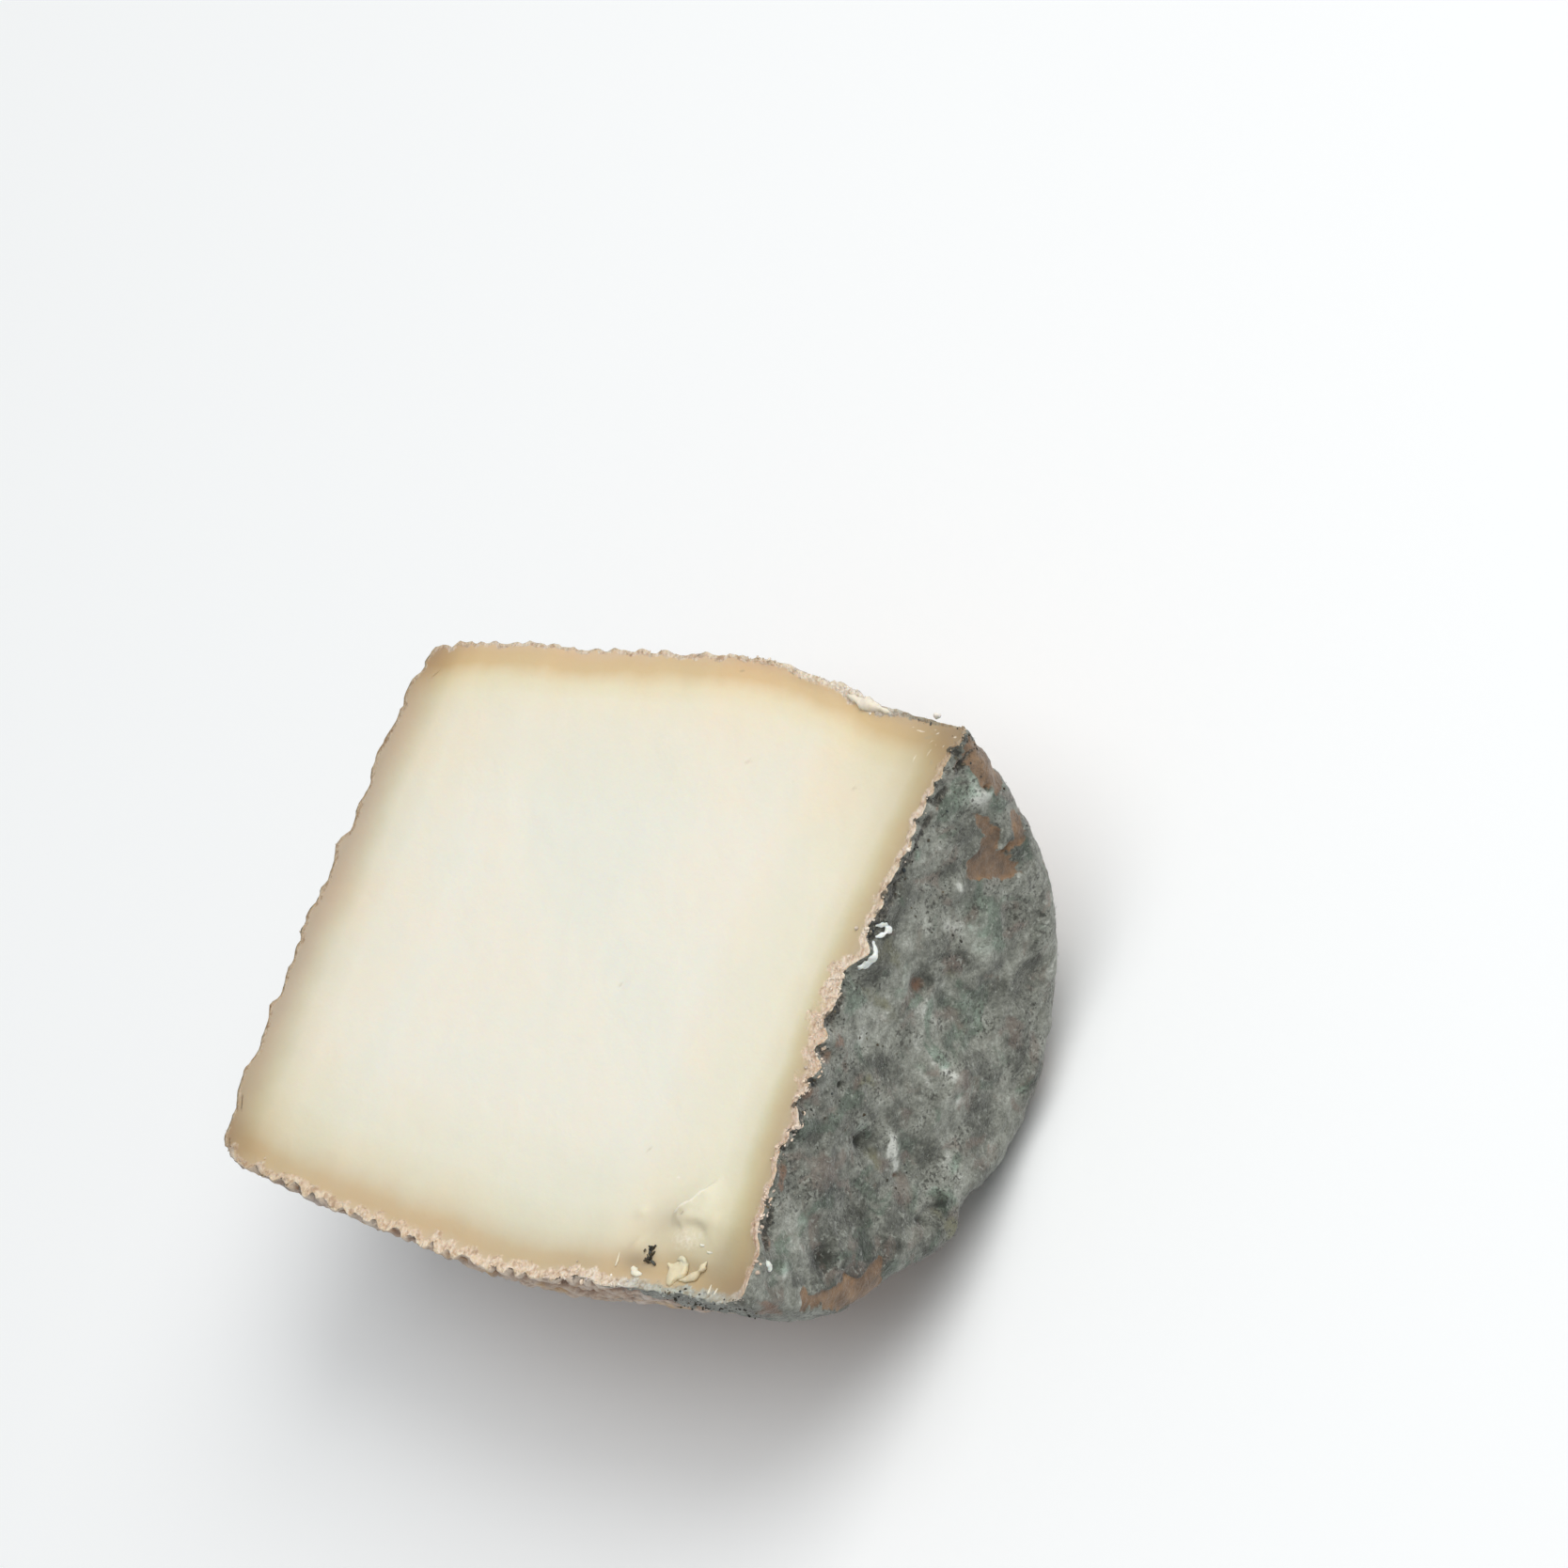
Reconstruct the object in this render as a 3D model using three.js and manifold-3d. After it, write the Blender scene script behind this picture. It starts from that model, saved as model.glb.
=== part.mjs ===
// Half of a small upright farmhouse goat's cheese, cut lengthwise, lying on its rounded back.
//
// Millimetres. +X runs along the cheese's own axis towards its mouldy end, +Y across the cut
// face, and +Z up, square to the cut face. The origin is under the middle, on the surface that
// the belly rests on. The cheese is one piece, so it is one closed solid: a half barrel whose
// skin is made of half rings, one after the other from the plain end to the mouldy end.

import * as THREE from "three";
import { mergeVertices } from "three/addons/utils/BufferGeometryUtils.js";
import Module from "manifold-3d";

// ---- Driving dimensions -------------------------------------------------------------------

const PLAIN_END_X = -39.5; // rim of the plain end
const MOULDY_END_X = 40.0; // rim of the mouldy end
const CENTRING_X = 0.4; // moves the lumpy whole so that its box is centred on the origin
const CUT_SHORT_OF_AXIS = 0.6; // the knife passed this far beside the axis
const REST_FLAT_DEPTH = 0.65; // how deep the belly is pressed flat where it rests

// Half widths of the cut face along X: the edge at +Y, then the edge at -Y.
const UPPER_EDGE = [[-40, 30.0], [-25, 32.0], [-10, 33.2], [8, 34.4], [20, 33.4], [29, 31.4], [40, 30.8]];
const LOWER_EDGE = [[-40, 29.9], [-25, 32.1], [-10, 33.3], [8, 34.2], [20, 33.0], [32, 31.8], [40, 31.2]];
const BELLY_X = 8; // where the barrel is widest

const PLAIN_SHOULDER = 3.4; // rounding of the plain end's rim
const MOULDY_SHOULDER = 3.0; // rounding of the mouldy end's rim
const PLAIN_END_CROWN = 0.7; // the plain end bulges out by this much
const MOULDY_END_DISH = 2.9; // the mouldy end has sunk in by this much

// Dents round the mouldy rim, and two bulges: angle from +Y in degrees, depth, half width in degrees.
const RIM_DENTS = [[46, -0.6, 15], [82, -0.5, 22], [111, 1.9, 7], [134, 1.6, 11]];
const RIM_DENT_REACH = 26; // how far a dent fades out along X

// Lumps that stand out of the plain end beside the cut: Y, height, half width.
const PLAIN_END_LUMPS = [
  [24, 0.6, 2], [17, 1.0, 2.4], [5.8, 1.1, 1.2], [-2.5, 0.7, 4], [-13.5, 0.9, 1.3], [-22, 0.8, 3],
];
const LUMP_REACH = 3; // a lump runs this many half widths down from the cut
// Pits and lumps of the mouldy end: Y, depth below the cut, height, half width.
const MOULDY_END_PITS = [
  [6.5, 9, -0.9, 1.6], [-10.5, 9.8, -0.8, 1.4], [-1, 17, 0.5, 4], [-23, 8.5, -0.6, 1.5],
];

// Rind relief
const WRINKLE_HEIGHT = 0.9; // brain-like wrinkles of the side
const WRINKLE_SPACING = 3.6;
const WRINKLES_FADE_IN = [2, 8]; // on the plain end, over these depths below the cut
const SWELL_HEIGHT = 0.35; // slow unevenness of the whole skin
const SWELL_SPACING = 15;
const MOULD_CRAG_HEIGHT = 0.55; // crags of the mouldy end
const MOULD_CRAG_SPACING = 5;
const CALM_REACH = 13; // the wrinkles fade out this close to the resting spot
const CALM_STRETCH = 2; // the calm spot is this many times as long as it is wide
const PLAIN_END_PATTERN = 1; // which slices of the noise shape the two ends
const MOULDY_END_PATTERN = 7;

// Facets
const FACET = 1.75; // side of a facet on the skin
const SHOULDER_STEPS = 3;
const MERGE_WITHIN = 1e-5; // corners this close are one corner
const SLIVER = 0.01; // edges shorter than this, left by the fusing, are closed up

// Smeared paste in the cut face's corner: a hollow, a pad, and the two lips folded up beside them.
const SMEAR_HOLLOW = { at: [26.6, -25.6], size: [3.6, 2.4, 0.7], turn: 0.7 };
const SMEAR_PAD = { at: [30.6, -26.2], size: [3.4, 2.1, 0.55], turn: -0.15 };
const SMEAR_LIPS = [
  [[32.2, -19.6], [30.2, -21.1], [27.7, -23.5]],
  [[27.6, -23.2], [30.6, -23.6], [33.6, -25.1]],
];
const SMEAR_LIP_WIDTH = 0.75;
const SMEAR_LIP_HEIGHT = 0.95;
const LENS_SIDES = 16;
const LIP_STEPS = 10;
const LIP_SIDES = 6;
const SMEAR_SINK = 0.13; // how far the middles of these forms lie below the cut face

// ---- Small helpers ------------------------------------------------------------------------

const clamp = (value, low, high) => Math.min(Math.max(value, low), high);
const mix = (a, b, t) => a + (b - a) * t;
const bump = (distance, halfWidth) => Math.exp(-((distance / halfWidth) ** 2));

function smoothstep(low, high, value) {
  const t = clamp((value - low) / (high - low), 0, 1);
  return t * t * (3 - 2 * t);
}

// A smooth function through stations [x, value], for half widths along the barrel.
function throughStations(stations) {
  const curve = new THREE.SplineCurve(stations.map(([x, y]) => new THREE.Vector2(x, y)));
  const samples = curve.getPoints(200);
  return (x) => {
    const next = samples.findIndex((point) => point.x >= x);
    if (next <= 0) return next === 0 ? samples[0].y : samples[samples.length - 1].y;
    const [a, b] = [samples[next - 1], samples[next]];
    return mix(a.y, b.y, (x - a.x) / (b.x - a.x));
  };
}

// Value noise from 0 to 1, from a fixed hash of whole-number lattice points.
function lattice(i, j, k) {
  let h = Math.imul(i, 374761393) + Math.imul(j, 668265263) + Math.imul(k, 1442695041);
  h = Math.imul(h ^ (h >>> 13), 1274126177);
  return ((h ^ (h >>> 16)) >>> 0) / 4294967296;
}

function noise(x, y, z) {
  const [i, j, k] = [x, y, z].map(Math.floor);
  const [u, v, w] = [x - i, y - j, z - k].map((t) => t * t * (3 - 2 * t));
  const along = (dj, dk) => mix(lattice(i, j + dj, k + dk), lattice(i + 1, j + dj, k + dk), u);
  return mix(mix(along(0, 0), along(1, 0), v), mix(along(0, 1), along(1, 1), v), w);
}

// Noise about zero, from -1 to 1, with features about one spacing apart.
const roughness = (x, y, z, spacing) => 2 * noise(x / spacing, y / spacing, z / spacing) - 1;

// Worm-like ridges from -1 in the grooves to 1 on the crests.
const ridges = (x, y, z, spacing) => 1 - 3 * Math.abs(roughness(x, y, z, spacing));

// ---- The barrel's form --------------------------------------------------------------------

const upperHalfWidth = throughStations(UPPER_EDGE);
const lowerHalfWidth = throughStations(LOWER_EDGE);
const bellyRadius = (upperHalfWidth(BELLY_X) + lowerHalfWidth(BELLY_X)) / 2;
const cutHeight = bellyRadius - CUT_SHORT_OF_AXIS - REST_FLAT_DEPTH;

// Radius of the skin at x, at an angle round the axis from +Y (0) through -Z to -Y (pi).
function barrelRadius(x, angle) {
  const round = mix(lowerHalfWidth(x), upperHalfWidth(x), (1 + Math.cos(angle)) / 2);
  const degrees = THREE.MathUtils.radToDeg(angle);
  const fade = bump(MOULDY_END_X - x, RIM_DENT_REACH);
  const dents = RIM_DENTS.map(([at, depth, halfWidth]) => depth * bump(degrees - at, halfWidth));
  return round - fade * dents.reduce((sum, depth) => sum + depth, 0);
}

// How far the side's skin stands out of its smooth form.
function sideRelief(x, y, z) {
  const calm = smoothstep(0, CALM_REACH, Math.hypot((x - BELLY_X) / CALM_STRETCH, y, z));
  const wrinkles = (WRINKLE_HEIGHT / 2) * ridges(x, y, z, WRINKLE_SPACING);
  return calm * (wrinkles + SWELL_HEIGHT * roughness(x, y, z, SWELL_SPACING));
}

// How far an end stands out at y and a depth below the cut.
function plainEndRelief(y, depth) {
  const beside = PLAIN_END_LUMPS.map(([at, height, halfWidth]) => {
    return height * bump(y - at, halfWidth) * bump(depth, LUMP_REACH * halfWidth);
  });
  const deep = smoothstep(...WRINKLES_FADE_IN, depth);
  const wrinkles = (WRINKLE_HEIGHT / 2) * ridges(PLAIN_END_PATTERN, y, depth, WRINKLE_SPACING);
  return beside.reduce((sum, height) => sum + height, 0) + deep * wrinkles;
}

function mouldyEndRelief(y, depth) {
  const pits = MOULDY_END_PITS.map(([atY, atDepth, height, halfWidth]) => {
    return height * bump(Math.hypot(y - atY, depth - atDepth), halfWidth);
  });
  const crags = MOULD_CRAG_HEIGHT * roughness(MOULDY_END_PATTERN, y, depth, MOULD_CRAG_SPACING);
  return pits.reduce((sum, height) => sum + height, 0) + crags;
}

// ---- The skin, ring by ring ---------------------------------------------------------------

// A ring is a half circle of points from +Y to -Y. place(angle) gives one point of it.
function ring(radius, place) {
  const steps = Math.max(2, Math.round((Math.PI * radius) / FACET));
  const points = [];
  for (let step = 0; step <= steps; step++) {
    const [x, y, depth] = place((Math.PI * step) / steps);
    points.push([x, y, Math.max(cutHeight - depth, 0)]);
  }
  return points;
}

// A point at a radius and an angle: its y, and its depth below the cut.
const across = (radius, angle) => [
  radius * Math.cos(angle),
  Math.max(radius - CUT_SHORT_OF_AXIS, 0) * Math.sin(angle),
];

// One ring of an end: share runs from 0 at the middle to 1 where the shoulder starts.
function endRing(end, share) {
  const radiusAt = (angle) => (barrelRadius(end.x, angle) - end.shoulder) * share;
  return ring(radiusAt(0), (angle) => {
    const [y, depth] = across(radiusAt(angle), angle);
    const proud = end.crown * (1 - share * share) + end.relief(y, depth);
    return [end.x + end.outward * proud, y, depth];
  });
}

// One ring of a shoulder: turn runs from 0, facing along X, to 1, facing away from the axis.
function shoulderRing(end, turn) {
  const lean = (turn * Math.PI) / 2;
  const x = end.x - end.outward * end.shoulder * (1 - Math.cos(lean));
  return ring(barrelRadius(x, 0), (angle) => {
    const radius = barrelRadius(end.x, angle) - end.shoulder * (1 - Math.sin(lean));
    const [y, depth] = across(radius, angle);
    const alongX = end.relief(y, depth) * Math.cos(lean);
    const outwards = sideRelief(x, y, cutHeight - depth) * Math.sin(lean);
    return [x + end.outward * alongX, ...across(radius + outwards, angle)];
  });
}

function sideRing(x) {
  return ring(barrelRadius(x, 0), (angle) => {
    const [y, depth] = across(barrelRadius(x, angle), angle);
    return [x, ...across(barrelRadius(x, angle) + sideRelief(x, y, cutHeight - depth), angle)];
  });
}

const PLAIN_END = {
  x: PLAIN_END_X, outward: -1, shoulder: PLAIN_SHOULDER,
  crown: PLAIN_END_CROWN, relief: plainEndRelief,
};
const MOULDY_END = {
  x: MOULDY_END_X, outward: 1, shoulder: MOULDY_SHOULDER,
  crown: -MOULDY_END_DISH, relief: mouldyEndRelief,
};

function endRings(end) {
  const rimRadius = barrelRadius(end.x, 0) - end.shoulder;
  const steps = Math.round(rimRadius / FACET);
  const rings = [];
  for (let step = 1; step <= steps; step++) rings.push(endRing(end, step / steps));
  for (let step = 1; step <= SHOULDER_STEPS; step++) rings.push(shoulderRing(end, step / SHOULDER_STEPS));
  return rings;
}

function barrelRings() {
  const first = PLAIN_END_X + PLAIN_SHOULDER;
  const last = MOULDY_END_X - MOULDY_SHOULDER;
  const steps = Math.round((last - first) / FACET);
  const side = [];
  for (let step = 1; step < steps; step++) side.push(sideRing(mix(first, last, step / steps)));
  return [...endRings(PLAIN_END), ...side, ...endRings(MOULDY_END).reverse()];
}

// ---- Closing the skin into a solid --------------------------------------------------------

// Joins two neighbouring rings of unlike counts with a band of triangles.
function joinRings(left, right, addTriangle) {
  let [i, j] = [0, 0];
  while (i < left.length - 1 || j < right.length - 1) {
    const leftNext = (i + 1) / (left.length - 1);
    const rightNext = (j + 1) / (right.length - 1);
    if (j === right.length - 1 || (i < left.length - 1 && leftNext <= rightNext)) {
      addTriangle(left[i], right[j], left[i + 1]);
      i += 1;
    } else {
      addTriangle(left[i], right[j], right[j + 1]);
      j += 1;
    }
  }
}

function halfBarrel() {
  const rings = barrelRings();
  const corners = [];
  const addTriangle = (a, b, c) => corners.push(...a, ...b, ...c);
  for (let n = 1; n < rings.length; n++) joinRings(rings[n - 1], rings[n], addTriangle);

  // A fan from the middle of each end to its smallest ring.
  const caps = [[PLAIN_END, rings[0]], [MOULDY_END, rings[rings.length - 1]]];
  const middles = caps.map(([end, smallest]) => {
    const middle = [end.x + end.outward * (end.crown + end.relief(0, 0)), 0, cutHeight];
    for (let n = 1; n < smallest.length; n++) {
      if (end.outward < 0) addTriangle(smallest[n], middle, smallest[n - 1]);
      else addTriangle(smallest[n - 1], middle, smallest[n]);
    }
    return middle;
  });

  // The cut face fills the outline that the rings' own ends leave open.
  const upper = rings.map((points) => points[0]);
  const lower = rings.map((points) => points[points.length - 1]).reverse();
  const outline = [middles[0], ...upper, middles[1], ...lower];
  const flat = outline.map(([x, y]) => new THREE.Vector2(x, y));
  for (const [a, b, c] of THREE.ShapeUtils.triangulateShape(flat, [])) {
    addTriangle(outline[a], outline[b], outline[c]);
  }

  const geometry = new THREE.BufferGeometry();
  geometry.setAttribute("position", new THREE.Float32BufferAttribute(corners, 3));
  return geometry;
}

// ---- Smeared paste on the cut face --------------------------------------------------------

// A low ellipsoid lying in the cut face.
function lens({ at: [x, y], size, turn }) {
  const geometry = new THREE.SphereGeometry(1, LENS_SIDES, LENS_SIDES / 2);
  geometry.rotateX(Math.PI / 2);
  geometry.scale(...size);
  geometry.rotateZ(turn);
  geometry.translate(x, y, cutHeight - SMEAR_SINK);
  return geometry;
}

// A spindle bent along the fold, thin at both of its ends.
function foldedLip(points) {
  const path = new THREE.CatmullRomCurve3(points.map(([x, y]) => new THREE.Vector3(x, y, 0)));
  const profile = [];
  for (let n = 0; n <= LIP_STEPS; n++) {
    const share = n / LIP_STEPS;
    profile.push(new THREE.Vector2(n % LIP_STEPS ? Math.sqrt(Math.sin(Math.PI * share)) : 0, share));
  }
  const geometry = new THREE.LatheGeometry(profile, LIP_SIDES);
  const position = geometry.getAttribute("position");
  for (let n = 0; n < position.count; n++) {
    const share = clamp(position.getY(n), 0, 1);
    const centre = path.getPointAt(share);
    const heading = path.getTangentAt(share);
    const sideways = position.getX(n) * SMEAR_LIP_WIDTH;
    const up = position.getZ(n) * SMEAR_LIP_HEIGHT - SMEAR_SINK;
    position.setXYZ(n, centre.x + heading.y * sideways, centre.y - heading.x * sideways, cutHeight + up);
  }
  return geometry;
}

// ---- Fusing it into one piece -------------------------------------------------------------

const wasm = await Module();
wasm.setup();

function toManifold(geometry) {
  const bare = geometry.clone();
  bare.deleteAttribute("normal");
  bare.deleteAttribute("uv");
  const merged = mergeVertices(bare, MERGE_WITHIN);
  const vertProperties = new Float32Array(merged.getAttribute("position").array);
  const triVerts = [];
  const index = merged.getIndex().array;
  for (let n = 0; n < index.length; n += 3) {
    const triangle = index.slice(n, n + 3);
    if (new Set(triangle).size === 3) triVerts.push(...triangle);
  }
  return new wasm.Manifold(new wasm.Mesh({
    numProp: 3, vertProperties, triVerts: new Uint32Array(triVerts),
  }));
}

function toGeometry(manifold) {
  const { vertProperties, triVerts } = manifold.getMesh();
  const geometry = new THREE.BufferGeometry();
  geometry.setAttribute("position", new THREE.BufferAttribute(vertProperties, 3));
  geometry.setIndex(new THREE.BufferAttribute(triVerts, 1));
  geometry.computeVertexNormals();
  return geometry;
}

function halfCheese() {
  const hollowed = toManifold(halfBarrel()).subtract(toManifold(lens(SMEAR_HOLLOW)));
  const raised = [lens(SMEAR_PAD), ...SMEAR_LIPS.map(foldedLip)].map(toManifold);
  const solid = raised.reduce((sum, form) => sum.add(form), hollowed).simplify(SLIVER);
  const paste = new THREE.MeshStandardMaterial({ color: 0xd9d0b8, roughness: 0.62, metalness: 0 });
  const mesh = new THREE.Mesh(toGeometry(solid), paste);
  mesh.name = "half_cheese";
  mesh.position.x = CENTRING_X;
  return mesh;
}

const cheese = new THREE.Group();
cheese.add(halfCheese());

export default cheese;
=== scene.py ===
"""Looks of half a small farmhouse goat's cheese, cut lengthwise, lying on its rounded back.

Sizes are in millimetres until points become Blender coordinates. The barrel's axis runs along
X from its plain end to its mouldy end, Y runs across the cut face, and Z is up. "depth" is how
far a point lies below the cut face. Colours are named as a screen shows them, from 0 to 255.
"""

import math

import bmesh
import bpy
import numpy as np
from mathutils import Matrix, Vector
from mathutils.kdtree import KDTree


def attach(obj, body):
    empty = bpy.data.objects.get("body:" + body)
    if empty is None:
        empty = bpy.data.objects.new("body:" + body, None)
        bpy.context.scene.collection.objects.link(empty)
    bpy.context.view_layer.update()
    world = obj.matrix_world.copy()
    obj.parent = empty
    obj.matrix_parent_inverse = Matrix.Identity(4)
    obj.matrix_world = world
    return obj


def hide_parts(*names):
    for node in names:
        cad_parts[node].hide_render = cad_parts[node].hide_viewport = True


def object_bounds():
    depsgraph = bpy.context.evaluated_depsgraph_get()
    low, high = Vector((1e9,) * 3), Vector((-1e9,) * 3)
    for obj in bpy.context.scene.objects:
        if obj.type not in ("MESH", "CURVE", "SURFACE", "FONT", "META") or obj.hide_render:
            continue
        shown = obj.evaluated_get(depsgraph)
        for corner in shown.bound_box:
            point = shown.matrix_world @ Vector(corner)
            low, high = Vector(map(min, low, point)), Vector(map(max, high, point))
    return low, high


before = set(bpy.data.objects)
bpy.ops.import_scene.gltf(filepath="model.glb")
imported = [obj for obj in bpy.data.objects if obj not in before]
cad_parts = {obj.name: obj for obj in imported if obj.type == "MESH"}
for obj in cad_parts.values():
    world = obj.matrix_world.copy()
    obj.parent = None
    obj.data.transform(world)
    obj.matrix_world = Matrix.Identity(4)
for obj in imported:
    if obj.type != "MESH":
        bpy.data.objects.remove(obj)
cad_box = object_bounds()

# ---- Driving dimensions of the barrel ----

MM = 0.001
FAR = 99.0  # farther than any edge
PLAIN_END_X = -39.5  # rim of the plain end
MOULDY_END_X = 40.0  # rim of the mouldy end
CENTRING_X = 0.4  # the whole is moved along X by this
CUT_SHORT_OF_AXIS = 0.6  # the knife passed this far beside the axis
REST_FLAT_DEPTH = 0.65  # how deep the belly is pressed flat where it rests

# Half widths of the cut face along X, at its +Y edge and at its -Y edge.
UPPER_EDGE = [(-40, 30.0), (-25, 32.0), (-10, 33.2), (8, 34.4), (20, 33.4), (29, 31.4), (40, 30.8)]
LOWER_EDGE = [(-40, 29.9), (-25, 32.1), (-10, 33.3), (8, 34.2), (20, 33.0), (32, 31.8), (40, 31.2)]
BELLY_X = 8  # where the barrel is widest

PLAIN_SHOULDER = 3.4
MOULDY_SHOULDER = 3.0
SHARPER_BESIDE_CUT = 1.7  # the mouldy shoulder is this much tighter beside the cut
SHARPER_REACH = 0.17  # as a share of the barrel's radius below the cut
PLAIN_END_CROWN = 0.7
MOULDY_END_DISH = 2.9

# Dents and bulges of the mouldy rim: angle from +Y in degrees, depth, half width in degrees.
RIM_DENTS = [(46, -0.6, 15), (82, -0.5, 22), (111, 1.9, 7), (134, 1.6, 11)]
RIM_DENT_REACH = 26
# Lumps of the plain end beside the cut: Y, height, half width.
PLAIN_END_LUMPS = [
    (24, 0.6, 2), (17, 1, 2), (5.8, 1.2, 1), (-2.5, 0.8, 3.2), (-13.5, 1, 1.1), (-21, 0.9, 2.2),
]
# Lumps and notches of the mouldy end beside the cut, the same way.
MOULDY_END_LUMPS = [
    (9, -0.5, 1.2), (6.2, 0.9, 0.9), (3.6, -0.8, 1.2), (-1.6, -0.4, 0.8), (-3.2, 0.6, 0.7),
    (-4.7, -0.4, 0.6), (-6.2, 0.7, 0.9), (-10, -1, 1.1), (-12.3, 0.3, 0.8), (-26, 0.4, 1.5),
]
LUMP_REACH = 2.5  # a lump runs this many half widths down from the cut

# ---- Facets ----

SIDE_FACET = 0.45
MOULDY_FACET = 0.25  # the mouldy end is finer
MOULDY_FACET_REACH = (9, 3)  # the facets grow between these distances from the mouldy end
CUT_FACET = 0.9
FINE_CUT_FACET = 0.28  # near the rim of the cut face and round its smear
FINE_RIM = 2.5
FINE_FROM_X = 22
FINE_TO_Y = -18
CUT_INSET = 0.004  # the cut's grid starts this share of its width inside the rim

# ---- Relief of the skin ----

SWELL_HEIGHT = 0.35
SWELL_SPACING = 15
WRINKLE_HEIGHT = 0.9  # from the grooves to the crests
WRINKLE_UNEVEN = 6  # the wrinkles grow deeper and shallower over this distance
PUCKER_HEIGHT = 0.34  # small folds on the wrinkles
PUCKER_SPACING = 1.0
CALM_REACH = 13  # wrinkles fade out this close to the resting spot
CALM_STRETCH = 2
MOULD_LAYERS = [(0.5, 5.5), (0.3, 2.6), (0.14, 1.1)]  # height and spacing of the mould's crags
MOULDY_END_PATTERN = 7
TEAR_HEIGHT = 1.0  # the rind is torn into lumps where the knife left it
TEAR_SPACINGS = (2.2, 1.0, 0.5)
TEAR_PATTERN = 20
TEAR_REACH = 1.3
SIDE_TEARS, MOULDY_TEARS, PLAIN_TEARS = 0.35, 0.8, 0.25  # how strong the lumps are on each
BARE_DEPTH = 0.3  # where the mould has come off
TORN_DROP = 0.3  # the torn band lies deeper, and crumbles
TORN_CRUMBLE_HEIGHT = 0.45
TORN_CRUMBLE_SPACING = 0.6

# How far the mould comes from its end along the side, on average, and what adds to it or takes
# from it: tongues, the -Y edge of the cut, and a ragged edge.
MOULD_REACH = 7.5
MOULD_FADE = (6, 5)  # it fades between this far beyond its reach and this far short of it
TONGUE_REACH = 9
TONGUE_TURN = 9  # an angle round the barrel counts as so many millimetres in the tongues' noise
TONGUE_SPACING = 2.6
LOWER_EDGE_REACH = 7
LOWER_EDGE_ANGLE = 0.3
RAGGED_REACH = 6
RAGGED_SPACING = 6

CLOUD_STRENGTH = 0.7  # pale and dark clouds of the mould
CLOUD_SPACING = 5.0
CLOUD_WANDER = 2.2
CLOUD_WANDER_SPACING = 4.5

# The wrinkles grow from noise on a box of cells: X, Y and depth ranges of the box.
WRINKLE_BOX = [(-44, 44), (-38, 38), (-3, 36)]
WRINKLE_CELL = 0.42
WRINKLE_NARROW = 0.36  # a crest raises what is this near and lowers what is twice as far
WRINKLE_STRETCH = 1.15  # wrinkles run round the barrel rather than along it
WRINKLE_SKIN = 1.0  # only what is this near to the skin takes part
WRINKLE_STEPS = 6
WRINKLE_GAIN = 1.5
WRINKLE_SEED = 11
WRINKLE_WANDER = 1.3  # the wrinkles are shifted by noise of this size
WRINKLE_WANDER_SPACING = 2.6

# ---- Spots of the mouldy end ----

# Every spot is its middle in Y and depth, half length, half width and strength, and the turn of
# its length in degrees where it has one.
SPOT_WANDER = 0.9  # noise shifts the spots' edges by this much
SPOT_WANDER_SPACING = 1.3
PALE_SPOTS = [
    (25.5, 4.6, 1.2, 1.4, 1.9), (26.6, 5.8, 0.8, 0.7, 0.8), (25.4, 9.1, 0.6, 0.9, 0.6),
    (22.9, 10.7, 1.2, 0.5, 0.8), (16.9, 8.6, 0.8, 1, 1.1), (18.2, 2.6, 1.2, 0.9, 0.3),
    (13.2, 14.4, 1.7, 2.6, 0.55, 10), (13, 9.4, 0.9, 0.8, 0.6, 30), (12.1, 6.9, 1, 0.6, 0.7, -30),
    (9.2, 10.5, 0.8, 0.9, 0.6), (9.6, 5.6, 0.8, 1.4, 0.35, 20), (13.2, 19.5, 1.2, 0.9, 0.45),
    (18.5, 21.1, 1, 0.16, 0.9, 38), (15.5, 24.7, 1.3, 0.2, 0.9, 24), (3.4, 11, 1, 1.2, 0.5),
    (1, 12.4, 0.9, 3.4, 0.45, 8), (-1.6, 14.7, 0.5, 1.2, 0.8), (-0.2, 17, 0.5, 1.8, 1),
    (-1.8, 19, 1, 1, 1.3), (1.4, 16, 3, 2.4, 0.3), (-0.4, 20.2, 1.3, 0.5, 0.6), (-3.4, 16, 1, 2.2, 0.45),
    (-1.8, 4.5, 1.1, 1.2, 0.6), (-6.2, 10.4, 1.6, 0.5, 0.45, -35), (-8.8, 8.7, 0.9, 0.8, 0.8),
    (-9.6, 14, 0.5, 2.2, 1.7, 45), (-10.9, 15.2, 0.35, 1.8, 1, 45), (-8.8, 22.2, 1.6, 1.6, 0.6),
    (-11.3, 9, 0.7, 1.2, 0.4), (-17, 14.6, 1.4, 0.8, 0.3), (-21, 3.6, 2.4, 2.2, 0.5),
    (-23.4, 4.8, 0.8, 1.6, 0.7), (-25.8, 4, 0.6, 0.7, 1.1), (-22.6, 10.6, 1, 0.28, 0.9),
    (-26.2, 9, 0.4, 2.2, 0.5, 30), (-15.6, 19.3, 0.9, 0.5, 0.6), (-11, 21, 0.4, 2, 0.6),
    (4.4, 20, 1.4, 2.2, 0.25), (-5, 25.4, 1, 1, 0.3), (20.8, 15.4, 1.4, 0.3, 0.4),
    (-18.4, 5.6, 0.7, 1.4, 0.25),
]
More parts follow.
